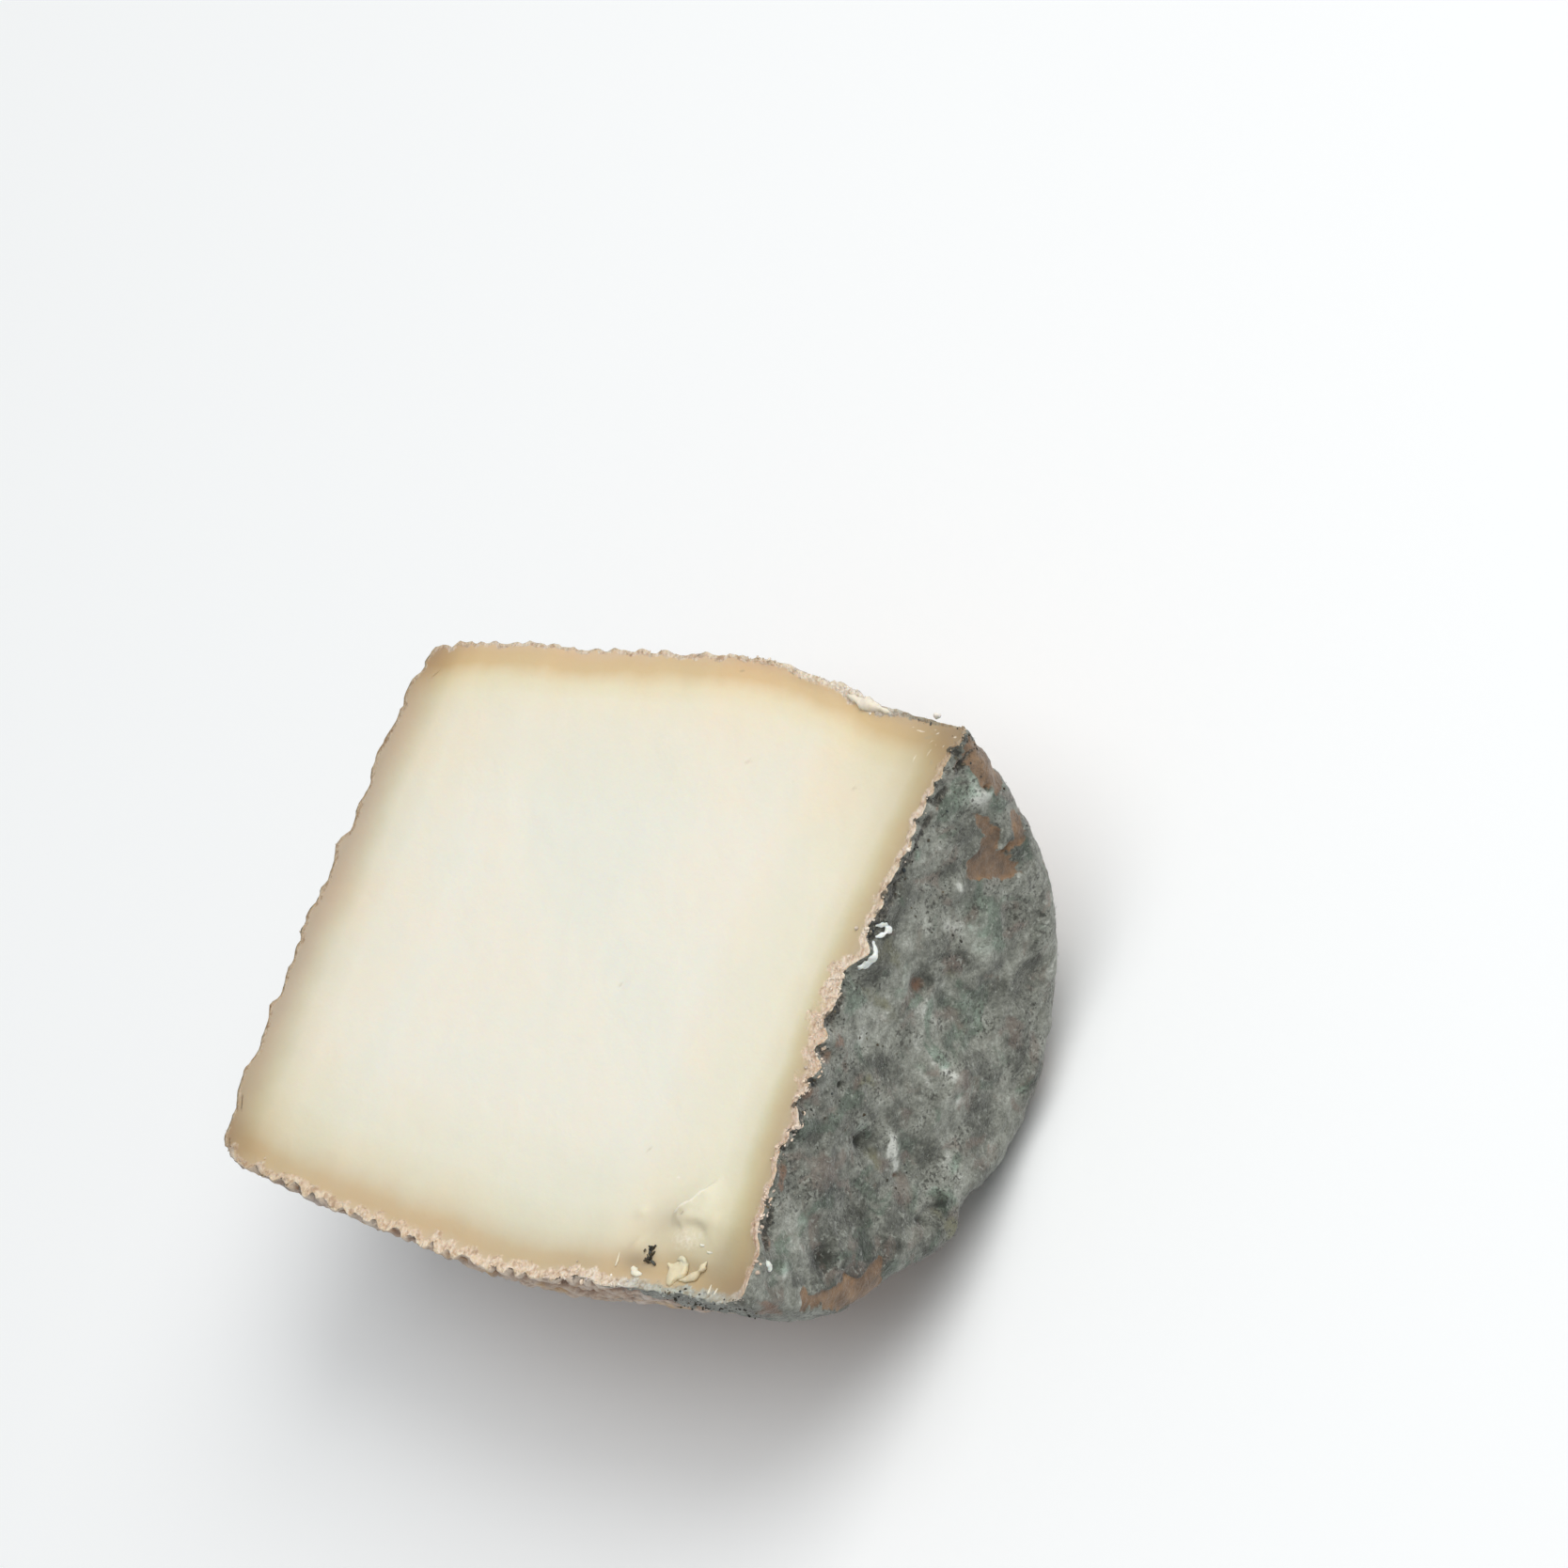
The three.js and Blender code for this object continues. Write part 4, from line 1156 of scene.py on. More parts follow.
# Flakes of paste on the cut face: stations (X, Y, half width) along each, thickness, lift, colour.
FLAKES = [
    ([(28.6, -29, 0.1), (29.2, -29.2, 0.6), (29.9, -29.5, 1.05), (30.6, -29.6, 0.9), (31.1, -29.9, 0.3)],
     0.4, 0.12, (227, 215, 182)),
    ([(29.6, -28.4, 0.1), (30.1, -28.2, 0.3), (30.6, -28.4, 0.35), (30.9, -28.9, 0.2)],
     0.3, 0.15, (230, 221, 190)),
    ([(30.7, -30.3, 0.1), (31.8, -29.9, 0.34), (32.7, -29.3, 0.42), (33.3, -28.5, 0.36),
      (33.4, -27.8, 0.1)],
     0.4, 0.15, (226, 213, 181)),
    ([(24.2, -30.2, 0.1), (24.7, -30.5, 0.42), (25.1, -30.8, 0.3), (25.8, -30.7, 0.12)],
     0.35, 0.1, (244, 236, 214)),
    ([(21.8, -29.1, 0.08), (22, -29.8, 0.16), (22.1, -30.6, 0.1)], 0.3, 0.1, (234, 220, 194)),
    ([(31.8, -26.3, 0.06), (32.1, -26.4, 0.14), (32.4, -26.3, 0.06)], 0.25, 0.1, (242, 236, 218)),
    ([(33, -26.8, 0.06), (33.3, -26.9, 0.14), (33.7, -26.8, 0.06)], 0.25, 0.1, (240, 232, 212)),
    ([(34.8, 31.4, 0.15), (35.1, 31.5, 0.32), (35.5, 31.6, 0.2)], 0.6, 0.1, (242, 236, 226)),
    ([(35.1, -29.9, 0.06), (35.3, -30.7, 0.16), (35.4, -31.6, 0.1)], 0.3, 0.15, (240, 228, 204)),
    ([(36.1, -30.1, 0.06), (36.1, -30.9, 0.15), (36, -31.6, 0.08)], 0.3, 0.15, (240, 228, 206)),
    ([(36.7, -30.7, 0.06), (37.5, -31.1, 0.18), (38.1, -31.4, 0.08)], 0.25, 0.15, (230, 214, 188)),
    ([(22.6, 32, 0.2), (24.2, 31.8, 0.5), (26, 31.4, 0.6), (27.6, 31.2, 0.4), (29, 31, 0.15)],
     0.6, 0.0, (240, 230, 212)),
]
# Flakes that cling to the mouldy end: stations (Y, depth, half width), thickness, lift, colour.
CLINGING_FLAKES = [
    ([(7.7, 1, 0.08), (7.3, 0.85, 0.22), (6.6, 0.8, 0.4), (5.9, 0.85, 0.55), (5.2, 0.85, 0.62),
      (4.6, 0.5, 0.3)],
     0.3, 0.2, (236, 240, 234)),
    ([(8.2, 1.1, 0.08), (8.6, 1.6, 0.22), (9.1, 2, 0.36), (9.6, 2.2, 0.42), (9.9, 2.2, 0.15)],
     0.25, 0.3, (240, 243, 238)),
    ([(9.8, 2.1, 0.1), (9.75, 1.6, 0.2), (9.5, 1.1, 0.16), (9.2, 0.6, 0.07)], 0.2, 0.3, (226, 230, 224)),
    ([(-26.1, 0.9, 0.12), (-26.3, 1.4, 0.32), (-26.5, 1.9, 0.36), (-26.7, 2.3, 0.12)],
     0.4, 0.1, (232, 236, 228)),
]
FLAKE_SECTIONS = 14
FLAKE_SIDES = 10
FLAKE_UNDERSIDE = 0.15  # how far it bulges below
FULL_FLAKE = 0.3  # a flake narrower than this is also thinner
FLAKE_GROUND_REACH = 4  # the ground under a clinging flake is read from what is this near
FLAKE_GROUND_BLEND = 0.5


def flake_noise(places, seed, spacing):
    """Noise at places (a, b), with its own pattern for each flake."""
    return fractal(np.column_stack([places, np.full(len(places), seed)]), spacing, 2)


def tube_triangles(count, sides):
    """Triangles of a closed tube of count sections, from its points section by section."""
    grid = np.arange(count * sides).reshape(count, sides)
    around = np.roll(grid, -1, axis=1)
    faces = [(grid[:-1], around[:-1], around[1:]), (grid[:-1], around[1:], grid[1:])]
    triangles = [np.stack(three, -1).reshape(-1, 3) for three in faces]
    for end, flip in ((grid[0], 1), (grid[-1], -1)):
        fan = [(end[0], b, a) for a, b in zip(end[1:], end[2:])]
        triangles.append(np.array(fan)[:, ::flip])
    return np.concatenate(triangles)


def flake_shell(stations, thickness, lift, seed):
    """A closed flat flake along stations: points (a, b, height over its ground) and triangles."""
    sections = FLAKE_SECTIONS * (1 + len(stations) // 6)
    curve = along_row(smooth_curve(stations), np.linspace(0, 1, sections))
    way = np.gradient(curve[:, :2], axis=0)
    way /= np.linalg.norm(way, axis=1)[:, None]
    aside = np.column_stack([-way[:, 1], way[:, 0]])
    turn = np.linspace(0, 2 * math.pi, FLAKE_SIDES, endpoint=False)
    ragged = 1 + 0.9 * flake_noise(curve[:, :2], seed, 0.5)
    half_width = (curve[:, 2] * ragged)[:, None, None]
    flat = curve[:, None, :2] + half_width * np.cos(turn)[None, :, None] * aside[:, None]
    fullness = np.minimum(1, curve[:, 2] / FULL_FLAKE)[:, None]
    bulge = np.sin(turn)
    over = np.where(bulge > 0, thickness * bulge, FLAKE_UNDERSIDE * bulge) * fullness
    crinkle = 0.5 * thickness * flake_noise(flat.reshape(-1, 2), seed, 0.6)
    height = over + lift * fullness + crinkle.reshape(over.shape) * (bulge > 0)
    points = np.concatenate([flat, height[:, :, None]], axis=2).reshape(-1, 3)
    return points, tube_triangles(sections, FLAKE_SIDES)


def right_way_round(points, triangles):
    """The triangles, turned if they face into their closed shape."""
    a, b, c = (points[triangles[:, corner]] for corner in range(3))
    inside_out = (np.cross(a, b) * c).sum() < 0
    return triangles[:, ::-1] if inside_out else triangles


def ground_on_end(surface, y, depth):
    """How far along X the mouldy end's surface lies at points of a flake."""
    near_end = ~surface["on_cut"] & (surface["points"][:, 0] > MOULDY_END_X - 4)
    ends = surface["points"][near_end]
    ends = ends[np.hypot(ends[:, 1] - y.mean(), ends[:, 2] - depth.mean()) < FLAKE_GROUND_REACH]
    away = np.hypot(y[:, None] - ends[:, 1], depth[:, None] - ends[:, 2])
    weights = bump(away, FLAKE_GROUND_BLEND) + TINY
    return weights @ ends[:, 0] / weights.sum(1)


def paste_flakes(surface, material):
    pieces = []
    for number, (stations, thickness, lift, tone) in enumerate(FLAKES + CLINGING_FLAKES):
        shell, triangles = flake_shell(stations, thickness, lift, number)
        a, b, height = shell.T
        if number < len(FLAKES):
            ground = cut_height_at(a, b, np.full(len(a), FAR))
            shell = np.column_stack([a, b, -ground - height])
        else:
            shell = np.column_stack([ground_on_end(surface, a, b) + height, a, b])
        pieces.append((to_blender(shell), triangles, np.tile(np.array(tone) / 255, (len(shell), 1))))
    starts = np.cumsum([0] + [len(points) for points, _, _ in pieces])
    triangles = [
        start + right_way_round(points - points.mean(0), faces)
        for start, (points, faces, _) in zip(starts, pieces)
    ]
    points = np.concatenate([points for points, _, _ in pieces])
    piece = build_mesh("paste_flakes", points, np.concatenate(triangles), [material])
    add_colours(piece, "tint", np.concatenate([tones for _, _, tones in pieces]))
    return piece


def hair_ways(roots, normal, rng):
    """The way each hair points: along a flow over the surface, and a little out of it."""
    flow = wander(roots, HAIR_FLOW_SPACING, HAIR_FLOW_PATTERN)
    flow = flow + rng.normal(0, HAIR_STRAY, roots.shape)
    flow -= (flow * normal).sum(1)[:, None] * normal
    flow /= np.linalg.norm(flow, axis=1)[:, None] + TINY
    rise = rng.uniform(*HAIR_RISES, (len(roots), 1)) ** 1.5
    way = flow + rise * normal
    return way / np.linalg.norm(way, axis=1)[:, None]


def spikes(start, way, normal, length):
    """Points and triangles of spikes with three sides, four points each."""
    aside = np.cross(way, normal)
    aside /= np.linalg.norm(aside, axis=1)[:, None] + TINY
    over = np.cross(aside, way)
    foot = [
        start + HAIR_HALF_WIDTH * (math.cos(turn) * aside + math.sin(turn) * over)
        for turn in (0, 2 * math.pi / 3, 4 * math.pi / 3)
    ]
    points = np.stack([*foot, start + length * way], axis=1).reshape(-1, 3)
    faces = np.array([(0, 1, 3), (1, 2, 3), (2, 0, 3), (2, 1, 0)])
    return points, repeated(faces, 4, len(start))


def build_hairs(surface, material):
    """The mould's fuzz, in one piece."""
    rng = np.random.default_rng(HAIR_SEED)
    mouldy = surface["mould"] * (1 - smoothstep(0.35, 0.6, surface["bare"])) * ~surface["on_cut"]
    weights = surface["areas"] * mouldy * smoothstep(*HAIR_FADE_X, surface["points"][:, 0])
    count = HAIR_COUNT
    roots_of = choose_points(weights, count, rng)
    normal = surface["normals"][roots_of]
    roots = surface["points"][roots_of] + rng.normal(0, HAIR_SPREAD, (count, 3)) * (1 - np.abs(normal))
    way = hair_ways(roots, normal, rng)
    length = mix(*HAIR_LENGTHS, rng.uniform(0, 1, (count, 1)) ** 1.6)
    points, triangles = spikes(roots - HAIR_SUNK * normal, way, normal, length)
    paleness = 0.5 + 0.5 * surface["pale"][roots_of] + rng.normal(0, HAIR_TONE_SPREAD, count)
    paleness = np.clip(paleness, 0, 1)[:, None]
    tones = mix(np.array(HAIR_DARKEST), np.array(HAIR_PALEST), paleness) / 255
    piece = build_mesh("mould_hairs", to_blender(points), triangles, [material])
    add_colours(piece, "tint", np.repeat(tones, 4, axis=0))
    return piece


# ---- Material helpers ----

def linear(channel):
    share = channel / 255
    return share / 12.92 if share <= 0.04045 else ((share + 0.055) / 1.055) ** 2.4


def colour(red, green, blue):
    """A linear colour from red, green and blue out of 255 as a screen shows them."""
    return (linear(red), linear(green), linear(blue), 1.0)


class Tree:
    """Builds a material's nodes. Every method returns the socket that its node gives out."""

    def __init__(self, name):
        self.material = bpy.data.materials.new(name)
        self.material.use_nodes = True
        self.nodes = self.material.node_tree.nodes
        self.links = self.material.node_tree.links
        self.shader = self.nodes["Principled BSDF"]
        self.place = self.nodes.new("ShaderNodeTexCoord").outputs["Object"]

    def feed(self, socket, value):
        if isinstance(value, bpy.types.NodeSocket):
            self.links.new(value, socket)
        else:
            socket.default_value = value

    def surface(self, **values):
        """Sets the shader's sockets, named with _ for each space."""
        for name, value in values.items():
            self.feed(self.shader.inputs[name.replace("_", " ")], value)

    def attribute(self, name, output="Fac"):
        node = self.nodes.new("ShaderNodeAttribute")
        node.attribute_name = name
        return node.outputs[output]

    def streaked(self, turn, stretch):
        """The place, turned about X and drawn out, so that noise becomes streaks on the ends."""
        node = self.nodes.new("ShaderNodeMapping")
        node.vector_type = "TEXTURE"
        node.inputs["Rotation"].default_value = (math.radians(turn), 0, 0)
        node.inputs["Scale"].default_value = (1, 1, stretch)
        self.feed(node.inputs["Vector"], self.place)
        return node.outputs["Vector"]

    def noise(self, size, detail=3, distortion=0.0, seed=0, uneven=0.5, place=None):
        """Noise from about 0.25 to 0.75, with features about size millimetres wide."""
        node = self.nodes.new("ShaderNodeTexNoise")
        node.noise_dimensions = "4D"
        node.inputs["W"].default_value = 3.7 * seed
        node.inputs["Scale"].default_value = 1 / (size * MM)
        node.inputs["Detail"].default_value = detail
        node.inputs["Roughness"].default_value = uneven
        node.inputs["Distortion"].default_value = distortion
        self.feed(node.inputs["Vector"], place or self.place)
        return node.outputs["Fac"]

    def maths(self, operation, a, b=0.0, c=0.0):
        node = self.nodes.new("ShaderNodeMath")
        node.operation = operation
        for socket, value in zip(node.inputs, (a, b, c)):
            self.feed(socket, value)
        return node.outputs["Value"]

    def roughened(self, value, size, amount, seed, detail=4):
        """The value with noise added, from about -amount/2 to amount/2."""
        noise = self.noise(size, detail, 0.4, seed=seed)
        return self.maths("ADD", value, self.maths("MULTIPLY_ADD", noise, 2 * amount, -amount))

    def step(self, value, low, high):
        """0 below low, 1 above high, and smooth between. High may be under low."""
        node = self.nodes.new("ShaderNodeMapRange")
        node.interpolation_type = "SMOOTHSTEP"
        self.feed(node.inputs["Value"], value)
        node.inputs["From Min"].default_value = min(low, high)
        node.inputs["From Max"].default_value = max(low, high)
        node.inputs["To Min"].default_value = 0.0 if low < high else 1.0
        node.inputs["To Max"].default_value = 1.0 if low < high else 0.0
        return node.outputs["Result"]

    def patches(self, size, detail, distortion, seed, low, high):
        """Noise sharpened into patches: 0 where it is under low, and 1 where it is over high."""
        return self.step(self.noise(size, detail, distortion, seed), low, high)

    def mask(self, name, size, amount, seed, low, high, detail=4):
        """One of the mesh's soft masks, first roughened and then sharpened."""
        return self.step(self.roughened(self.attribute(name), size, amount, seed, detail), low, high)

    def blend(self, share, a, b, how="MIX", strength=1.0):
        """Colour b over colour a."""
        node = self.nodes.new("ShaderNodeMixRGB")
        node.blend_type = how
        if strength != 1.0:
            share = self.maths("MULTIPLY", share, strength)
        for name, value in (("Fac", share), ("Color1", a), ("Color2", b)):
            self.feed(node.inputs[name], value)
        return node.outputs["Color"]

    def paint(self, share, under, screen, strength):
        """A screen colour over another colour."""
        return self.blend(share, under, colour(*screen), strength=strength)

    def tones(self, value, stops):
        """Screen colours at places from 0 to 1."""
        return self.ramp(value, [(place, colour(*screen)) for place, screen in stops])

    def ramp(self, value, stops):
        """Linear colours at places from 0 to 1."""
        node = self.nodes.new("ShaderNodeValToRGB")
        elements = node.color_ramp.elements
        while len(elements) < len(stops):
            elements.new(0.5)
        for element, (place, tone) in zip(elements, stops):
            element.position = place
            element.color = tone
        self.feed(node.inputs["Fac"], value)
        return node.outputs["Color"]

    def bump(self, height, depth, normal=None):
        """Fine relief: height times depth millimetres."""
        node = self.nodes.new("ShaderNodeBump")
        node.inputs["Distance"].default_value = depth * MM
        self.feed(node.inputs["Height"], height)
        if normal is not None:
            self.feed(node.inputs["Normal"], normal)
        return node.outputs["Normal"]


# ---- Paste ----

PASTE = (237, 234, 220)
WHITE = (1, 1, 1, 1)
SCATTER_RADIUS = (1.0, 0.65, 0.35)  # how far red, green and blue light runs in it, as shares
PASTE_SCATTER = 1.6
CRUMB_SCATTER = 0.6

# What each edge of the cut face does to the paste's colour: distance from the edge, colour.
UNDER_EDGES = {
    "from_upper": [
        (0.3, (216, 192, 161)), (1.4, (218, 192, 151)), (2.4, (220, 195, 152)), (3.3, (229, 211, 175)),
        (4.2, (234, 223, 192)), (6.0, (237, 230, 207)), (9.0, (237, 231, 213)), (16.0, (237, 233, 217)),
    ],
    "from_lower": [
        (0.6, (207, 187, 157)), (1.8, (205, 182, 145)), (2.8, (208, 187, 152)), (3.6, (213, 198, 167)),
        (4.4, (218, 207, 180)), (5.8, (225, 218, 193)), (9.0, (232, 228, 208)), (16.0, (237, 233, 218)),
    ],
    "from_plain": [
        (0.0, (190, 174, 152)), (1.0, (197, 180, 157)), (2.2, (205, 191, 167)), (3.3, (212, 202, 177)),
        (4.4, (219, 212, 189)), (5.6, (228, 221, 200)), (9.0, (234, 230, 213)),
    ],
    "from_mouldy": [
        (0.6, (196, 178, 148)), (1.6, (197, 179, 145)), (2.4, (203, 187, 152)), (3.2, (209, 197, 163)),
        (4.0, (217, 209, 179)), (4.8, (226, 219, 194)), (7.5, (234, 229, 208)), (16.0, (237, 232, 215)),
    ],
}
UNDER_REACH = 20.0


def edge_tint(tree, distance, stops):
    """What an edge multiplies the paste's colour by, from stops (millimetres, screen colour)."""
    base = colour(*PASTE)
    tints = []
    for at, screen in stops:
        tint = [part / whole for part, whole in zip(colour(*screen), base)]
        tints.append((at / UNDER_REACH, tint))
    tints.append((0.95, WHITE))
    return tree.ramp(tree.maths("DIVIDE", distance, UNDER_REACH), tints)


def paste_tone(tree):
    uneven = tree.maths("MULTIPLY_ADD", tree.noise(7, 3, seed=1), 2.4, -1.2)
    tone = tree.tones(tree.noise(14, 4, 0.4, seed=2), [
        (0.35, (234, 233, 220)), (0.5, PASTE), (0.65, (240, 233, 217)),
    ])
    for mask, stops in UNDER_EDGES.items():
        distance = tree.maths("ADD", tree.attribute(mask), uneven)
        tone = tree.blend(1.0, tone, edge_tint(tree, distance, stops), "MULTIPLY")
    # Greyish see-through paste, with painted shade in the smear's hollows and under its arch.
    dull_and_shade = tree.maths("MINIMUM", tree.attribute("dull_and_shade"), 0.95)
    tone = tree.paint(dull_and_shade, tone, (161, 144, 119), 1.0)
    # Faint dark marks, with painted shade in two pits.
    tone = tree.paint(tree.mask("faint_and_pit_shade", 0.5, 0.4, 41, 0.4, 1.1), tone, (176, 162, 134), 0.5)
    # Pale marks, with painted highlights on the smear's lip, pad and wedge.
    return tree.paint(tree.mask("light", 0.4, 0.4, 42, 0.4, 1.1), tone, (248, 242, 226), 0.75)


def paste_material():
    tree = Tree("paste")
    rim = tree.mask("rim_place", 1.3, 1.3, 3, 1.25, 0.75)
    patchy = tree.tones(tree.noise(0.7, 5, 0.6, seed=4), [
        (0.34, (208, 193, 179)), (0.46, (238, 231, 223)), (0.6, (255, 255, 255)),
    ])
    rind = tree.blend(1.0, tree.attribute("rim_tint", "Color"), patchy, "MULTIPLY")
    tone = tree.blend(rim, paste_tone(tree), rind)
    # Dark pockets along the torn rim: partly dark mould, partly painted shade in the pockets.
    tone = tree.paint(tree.mask("pocket", 0.6, 0.7, 8, 0.45, 0.8), tone, (74, 70, 58), 0.85)
    grain = tree.noise(0.4, 4, seed=5)
    streaks = tree.noise(4.0, 3, 0.3, seed=6)
    crumbly = tree.maths("MULTIPLY", tree.maths("SUBTRACT", tree.noise(0.5, 4, 0.5, seed=7), 0.5), rim)
    normal = tree.bump(streaks, 0.16)
    normal = tree.bump(grain, 0.015, normal)
    normal = tree.bump(crumbly, 0.5, normal)
    tree.surface(
        Base_Color=tone, Roughness=tree.maths("MULTIPLY_ADD", grain, 0.2, 0.4), Normal=normal,
        Subsurface_Weight=0.3, Subsurface_Radius=SCATTER_RADIUS, Subsurface_Scale=PASTE_SCATTER * MM,
        IOR=1.42,
    )
    return tree.material


# ---- Rind and mould ----

def tan_rind(tree):
    """Beige crests over brown grooves, with ochre areas, pale bloom, speckles and grey spots. The grooves'
    darker tones are partly the rind's own and partly painted shade.
    """
    crest = tree.roughened(tree.attribute("crest"), 0.7, 0.5, 11)
    # Darker towards the grooves: partly the rind's own brown, partly painted shade in the grooves.
    beige = tree.tones(crest, [
        (0.02, (128, 92, 68)), (0.3, (158, 123, 98)), (0.55, (186, 155, 130)), (0.92, (212, 190, 169)),
    ])
    ochre = tree.tones(crest, [(0.02, (134, 90, 50)), (0.35, (178, 131, 78)), (0.92, (218, 184, 136))])
    tone = tree.blend(tree.patches(5, 5, 0.9, 12, 0.54, 0.62), beige, ochre, strength=0.85)
    bloom = tree.maths("MULTIPLY", tree.patches(3.4, 5, 0.8, 13, 0.52, 0.64), crest)
    tone = tree.paint(bloom, tone, (218, 206, 198), 0.75)
    speckle = tree.patches(0.8, 4, 0.3, 16, 0.55, 0.68)
    tone = tree.paint(speckle, tone, (130, 96, 72), 0.4)
    spots = tree.patches(3.0, 4, 0.8, 14, 0.62, 0.68)
    tone = tree.paint(spots, tone, (132, 136, 133), 0.6)
    near_cut = tree.mask("near_cut", 1.0, 0.5, 15, 0.35, 0.9)
    return tree.blend(near_cut, tone, tree.attribute("rim_tint", "Color"), strength=0.8)


def grey_fur(tree):
    """Clouds, wisps, fibres and grain, darker and paler where the named spots are; the dark spots on pits
    are partly painted shade.
    """
    clouds = tree.noise(2.8, 5, 1.0, seed=21, uneven=0.6)
    wisps = tree.noise(1.1, 6, 1.2, seed=22, uneven=0.7)
    rising = tree.noise(0.5, 4, 0.8, seed=34, place=tree.streaked(35, 5))
    falling = tree.noise(0.5, 4, 0.8, seed=35, place=tree.streaked(-50, 5))
    fibres = tree.blend(tree.patches(6, 2, 0.5, 36, 0.46, 0.54), rising, falling)
    grain = tree.noise(0.32, 3, 0.5, seed=39, uneven=0.7)
    fur = tree.maths("MULTIPLY_ADD", clouds, 0.4, -0.025)
    for layer, weight in ((wisps, 0.3), (fibres, 0.1), (grain, 0.25), (tree.attribute("pale"), 0.16)):
        fur = tree.maths("MULTIPLY_ADD", layer, weight, fur)
    return tree.tones(fur, [
        (0.32, (56, 58, 50)), (0.42, (93, 95, 86)), (0.5, (128, 130, 120)), (0.57, (154, 156, 146)),
        (0.68, (206, 208, 200)),
    ])


def grey_mould(tree):
    """Grey fur with teal, warm, light, olive and brown patches, dark specks, and torn and bare rind; the
    torn rind's near black is partly mould and partly painted shade.
    """
    teal = tree.maths("ADD", tree.attribute("teal"), tree.patches(4.5, 4, 0.8, 23, 0.53, 0.66))
    teal = tree.step(teal, 0.1, 1.1)
    tone = tree.blend(teal, grey_fur(tree), colour(160, 196, 178), "MULTIPLY", 0.6)
    warm = tree.patches(3.2, 4, 0.8, 24, 0.53, 0.66)
    tone = tree.paint(warm, tone, (122, 105, 95), 0.5)
    flecks = tree.patches(0.55, 2, 0.6, 43, 0.6, 0.67)
    tone = tree.paint(flecks, tone, (176, 180, 170), 0.45)
    tone = tree.paint(tree.mask("olive", 1.2, 0.5, 26, 0.15, 1.0), tone, (116, 114, 82), 0.65)
    tone = tree.paint(tree.mask("brown", 0.9, 0.6, 27, 0.4, 1.0), tone, (130, 97, 75), 0.7)
    peppered = tree.patches(5, 3, 0.5, 37, 0.42, 0.58)
    specks = tree.maths("MULTIPLY", tree.patches(0.35, 2, 0.3, 25, 0.52, 0.64), peppered)
    tone = tree.paint(specks, tone, (54, 54, 46), 0.8)
    bare_tone = tree.tones(tree.noise(2.2, 6, 0.5, seed=28), [
        (0.34, (98, 78, 60)), (0.5, (130, 102, 76)), (0.66, (162, 128, 94)),
    ])
    tone = tree.blend(tree.mask("bare", 1.0, 0.6, 29, 0.42, 0.64), tone, bare_tone, strength=0.9)
    # The torn band's near black: partly dark mould, partly painted shade of its crags.
    torn_mould_and_shade_tone = tree.tones(tree.noise(0.5, 3, 0.3, seed=38), [
        (0.38, (44, 42, 36)), (0.52, (66, 64, 55)), (0.64, (128, 124, 112)),
    ])
    return tree.blend(tree.mask("torn", 0.5, 1.0, 30, 0.4, 0.8), tone, torn_mould_and_shade_tone, strength=0.9)


def skin_material():
    tree = Tree("rind")
    mould = tree.mask("mould", 2.2, 0.9, 31, 0.45, 0.6, detail=6)
    tone = tree.blend(mould, tan_rind(tree), grey_mould(tree))
    fine = tree.noise(0.4, 5, 1.0, seed=32, uneven=0.6)
    coarse = tree.noise(1.6, 4, 0.8, seed=33)
    normal = tree.bump(coarse, 0.5)
    normal = tree.bump(fine, 0.25, normal)
    tree.surface(
        Base_Color=tone, Roughness=tree.maths("MULTIPLY_ADD", fine, 0.2, 0.74), Normal=normal,
        Sheen_Weight=0.35, Sheen_Roughness=0.45,
    )
    return tree.material


def tinted_material(name, grain_size, grain_depth, shading, scatter):
    """For small pieces that carry their own colour in "tint": shading is the grain's darkest grey."""
    tree = Tree(name)
    grain = tree.noise(grain_size, 4, 0.5, seed=51)
    shade = tree.tones(grain, [(0.35, (shading, shading, shading)), (0.6, (255, 255, 255))])
    tone = tree.blend(1.0, tree.attribute("tint", "Color"), shade, "MULTIPLY")
    tree.surface(
        Base_Color=tone, Roughness=tree.maths("MULTIPLY_ADD", grain, 0.3, 0.55),
        Normal=tree.bump(grain, grain_depth), Subsurface_Weight=scatter,
        Subsurface_Radius=SCATTER_RADIUS, Subsurface_Scale=CRUMB_SCATTER * MM,
    )
    return tree.material


# ---- Floor, light and camera ----

FLOOR_HALF = 4.0  # metres
SKY_TINT = (0.95, 0.975, 1.0, 1)
SKY_STRENGTH = 0.31
# Round lights that face the middle: name, direction, distance and width in metres, watts, tint.
LIGHTS = [
    ("key", (0.4, 0.55, 0.74), 2.0, 1.4, 16.5, (1.0, 0.985, 0.96)),
    ("overhead", (0.3, 0.1, 1.0), 1.8, 1.8, 18.3, (1.0, 0.995, 0.985)),
]


def floor_material():
    tree = Tree("floor_paint")
    tone = tree.tones(tree.noise(400, 2), [(0.3, (248, 250, 251)), (0.7, (250, 252, 253))])
    tree.surface(Base_Color=tone, Roughness=0.6)
    return tree.material


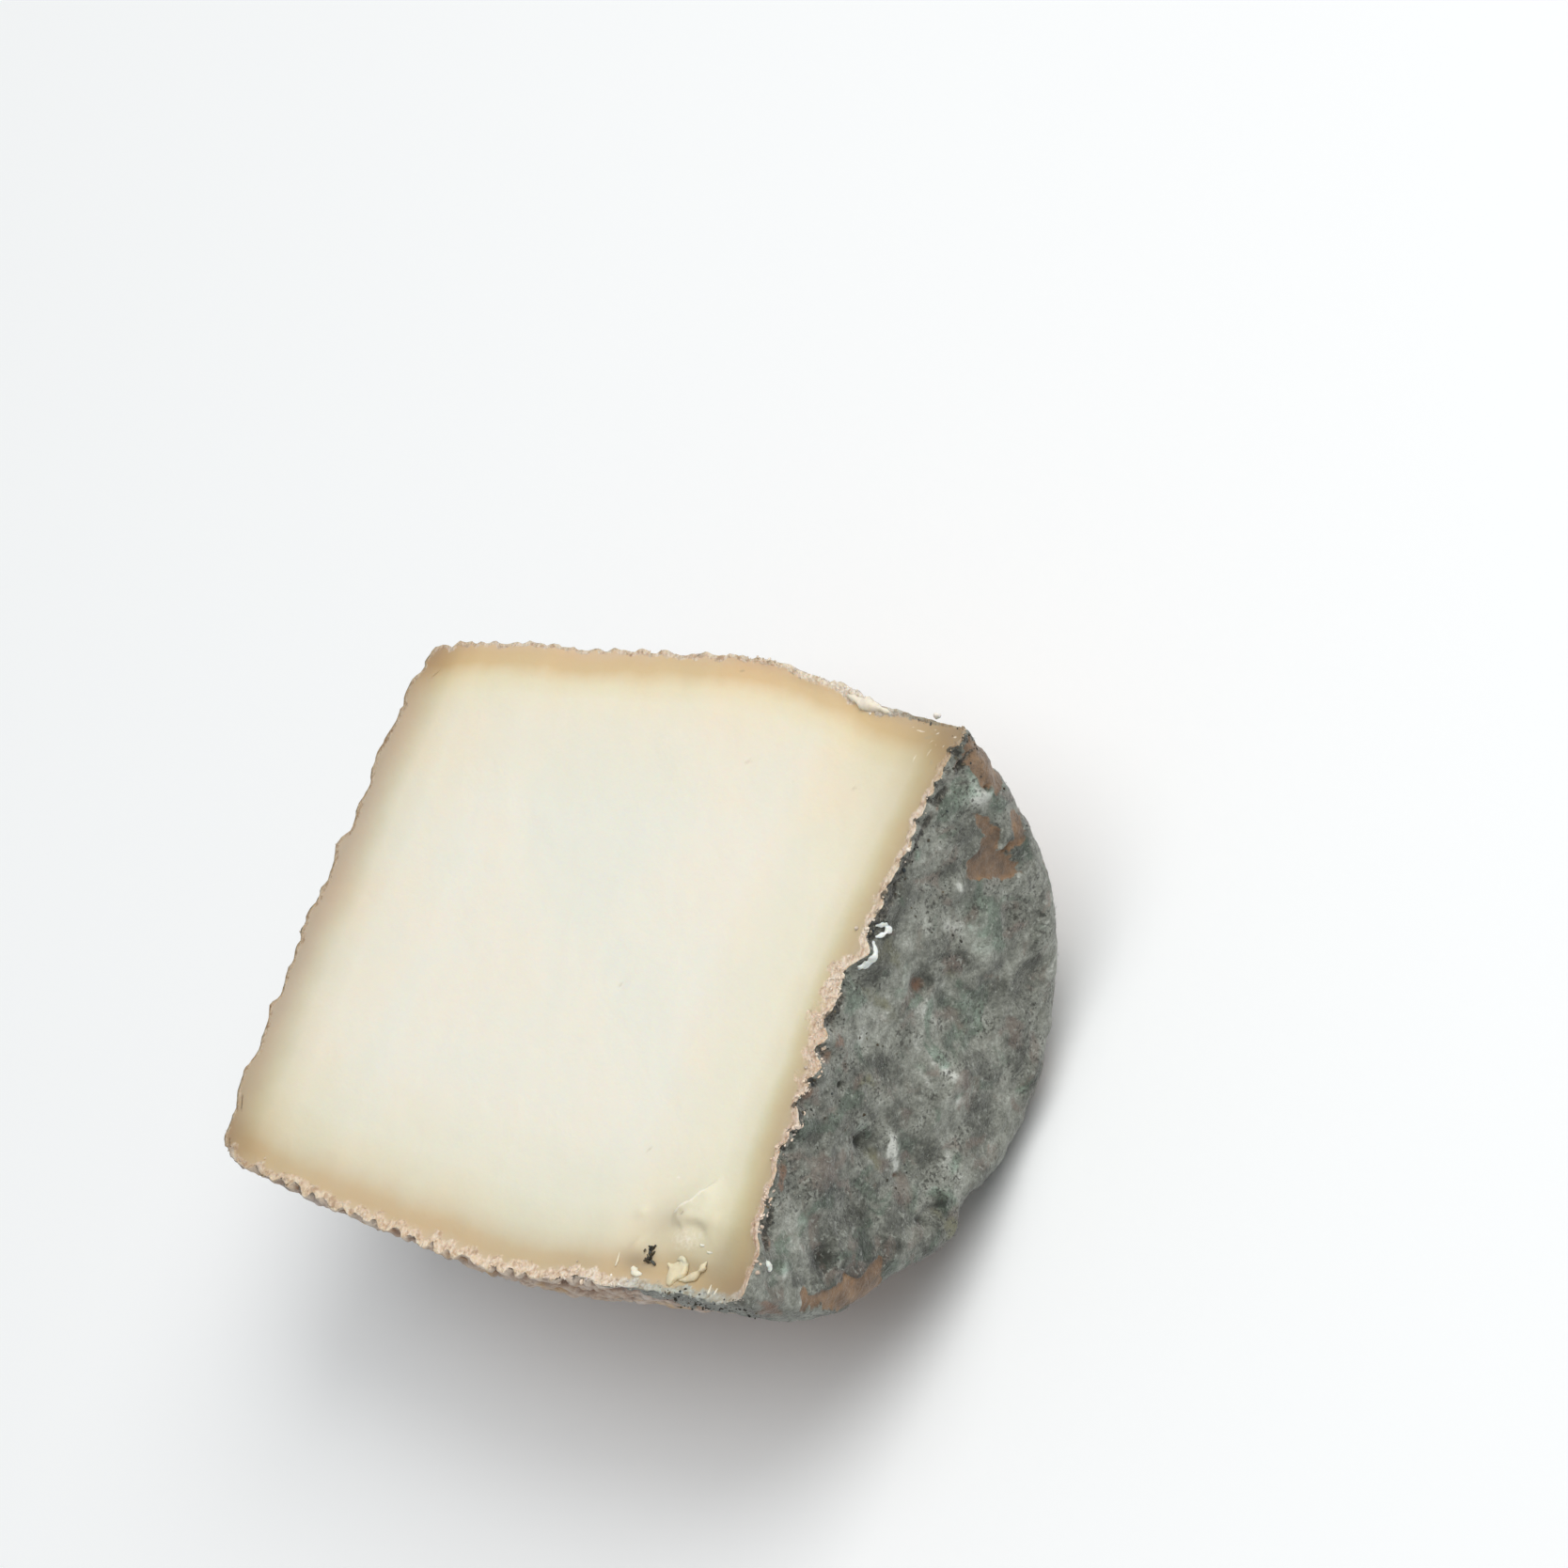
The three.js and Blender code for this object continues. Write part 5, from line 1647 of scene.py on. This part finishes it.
def add_floor():
    corners = FLOOR_HALF * np.array([(-1, -1, 0), (1, -1, 0), (1, 1, 0), (-1, 1, 0)], float)
    triangles = np.array([(0, 1, 2), (0, 2, 3)])
    floor = build_mesh("floor", corners, triangles, [floor_material()], smooth=False)


def add_camera():
    data = bpy.data.cameras.new("camera")
    data.lens = CAMERA_LENS
    data.sensor_width = SENSOR
    camera = bpy.data.objects.new("camera", data)
    axes = Matrix((CAMERA_RIGHT, CAMERA_UP, CAMERA_BACK)).transposed().to_4x4()
    camera.matrix_world = Matrix.Translation([MM * n for n in CAMERA_AT]) @ axes
    bpy.context.scene.collection.objects.link(camera)
    bpy.context.scene.camera = camera


def add_area_light(name, direction, distance, size, power, tint):
    data = bpy.data.lights.new(name, "AREA")
    data.shape = "DISK"
    data.size = size
    data.energy = power
    data.color = tint
    light = bpy.data.objects.new(name, data)
    way = Vector(direction).normalized()
    light.location = way * distance
    light.rotation_mode = "QUATERNION"
    light.rotation_quaternion = way.to_track_quat("Z", "Y")
    bpy.context.scene.collection.objects.link(light)


def add_light():
    world = bpy.data.worlds.new("studio")
    world.use_nodes = True
    background = world.node_tree.nodes["Background"]
    background.inputs["Color"].default_value = SKY_TINT
    background.inputs["Strength"].default_value = SKY_STRENGTH
    bpy.context.scene.world = world
    for light in LIGHTS:
        add_area_light(*light)


def set_colours():
    bpy.context.scene.view_settings.view_transform = "Standard"
    bpy.context.scene.view_settings.look = "None"


# ---- Putting it together ----

def dress(piece):
    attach(piece, "root")
    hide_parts("half_cheese")


set_colours()
add_camera()
add_light()
add_floor()
cheese, surface = build_cheese(skin_material(), paste_material())
dress(cheese)
dress(rim_crumbs(surface, tinted_material("torn_rind", 0.3, 0.12, 232, 0.05)))
dress(dark_crumbs(surface, tinted_material("dark_mould", 0.2, 0.1, 190, 0.0)))
dress(paste_flakes(surface, tinted_material("loose_paste", 0.5, 0.05, 244, 0.3)))
dress(build_hairs(surface, tinted_material("fur", 1.0, 0.0, 225, 0.0)))
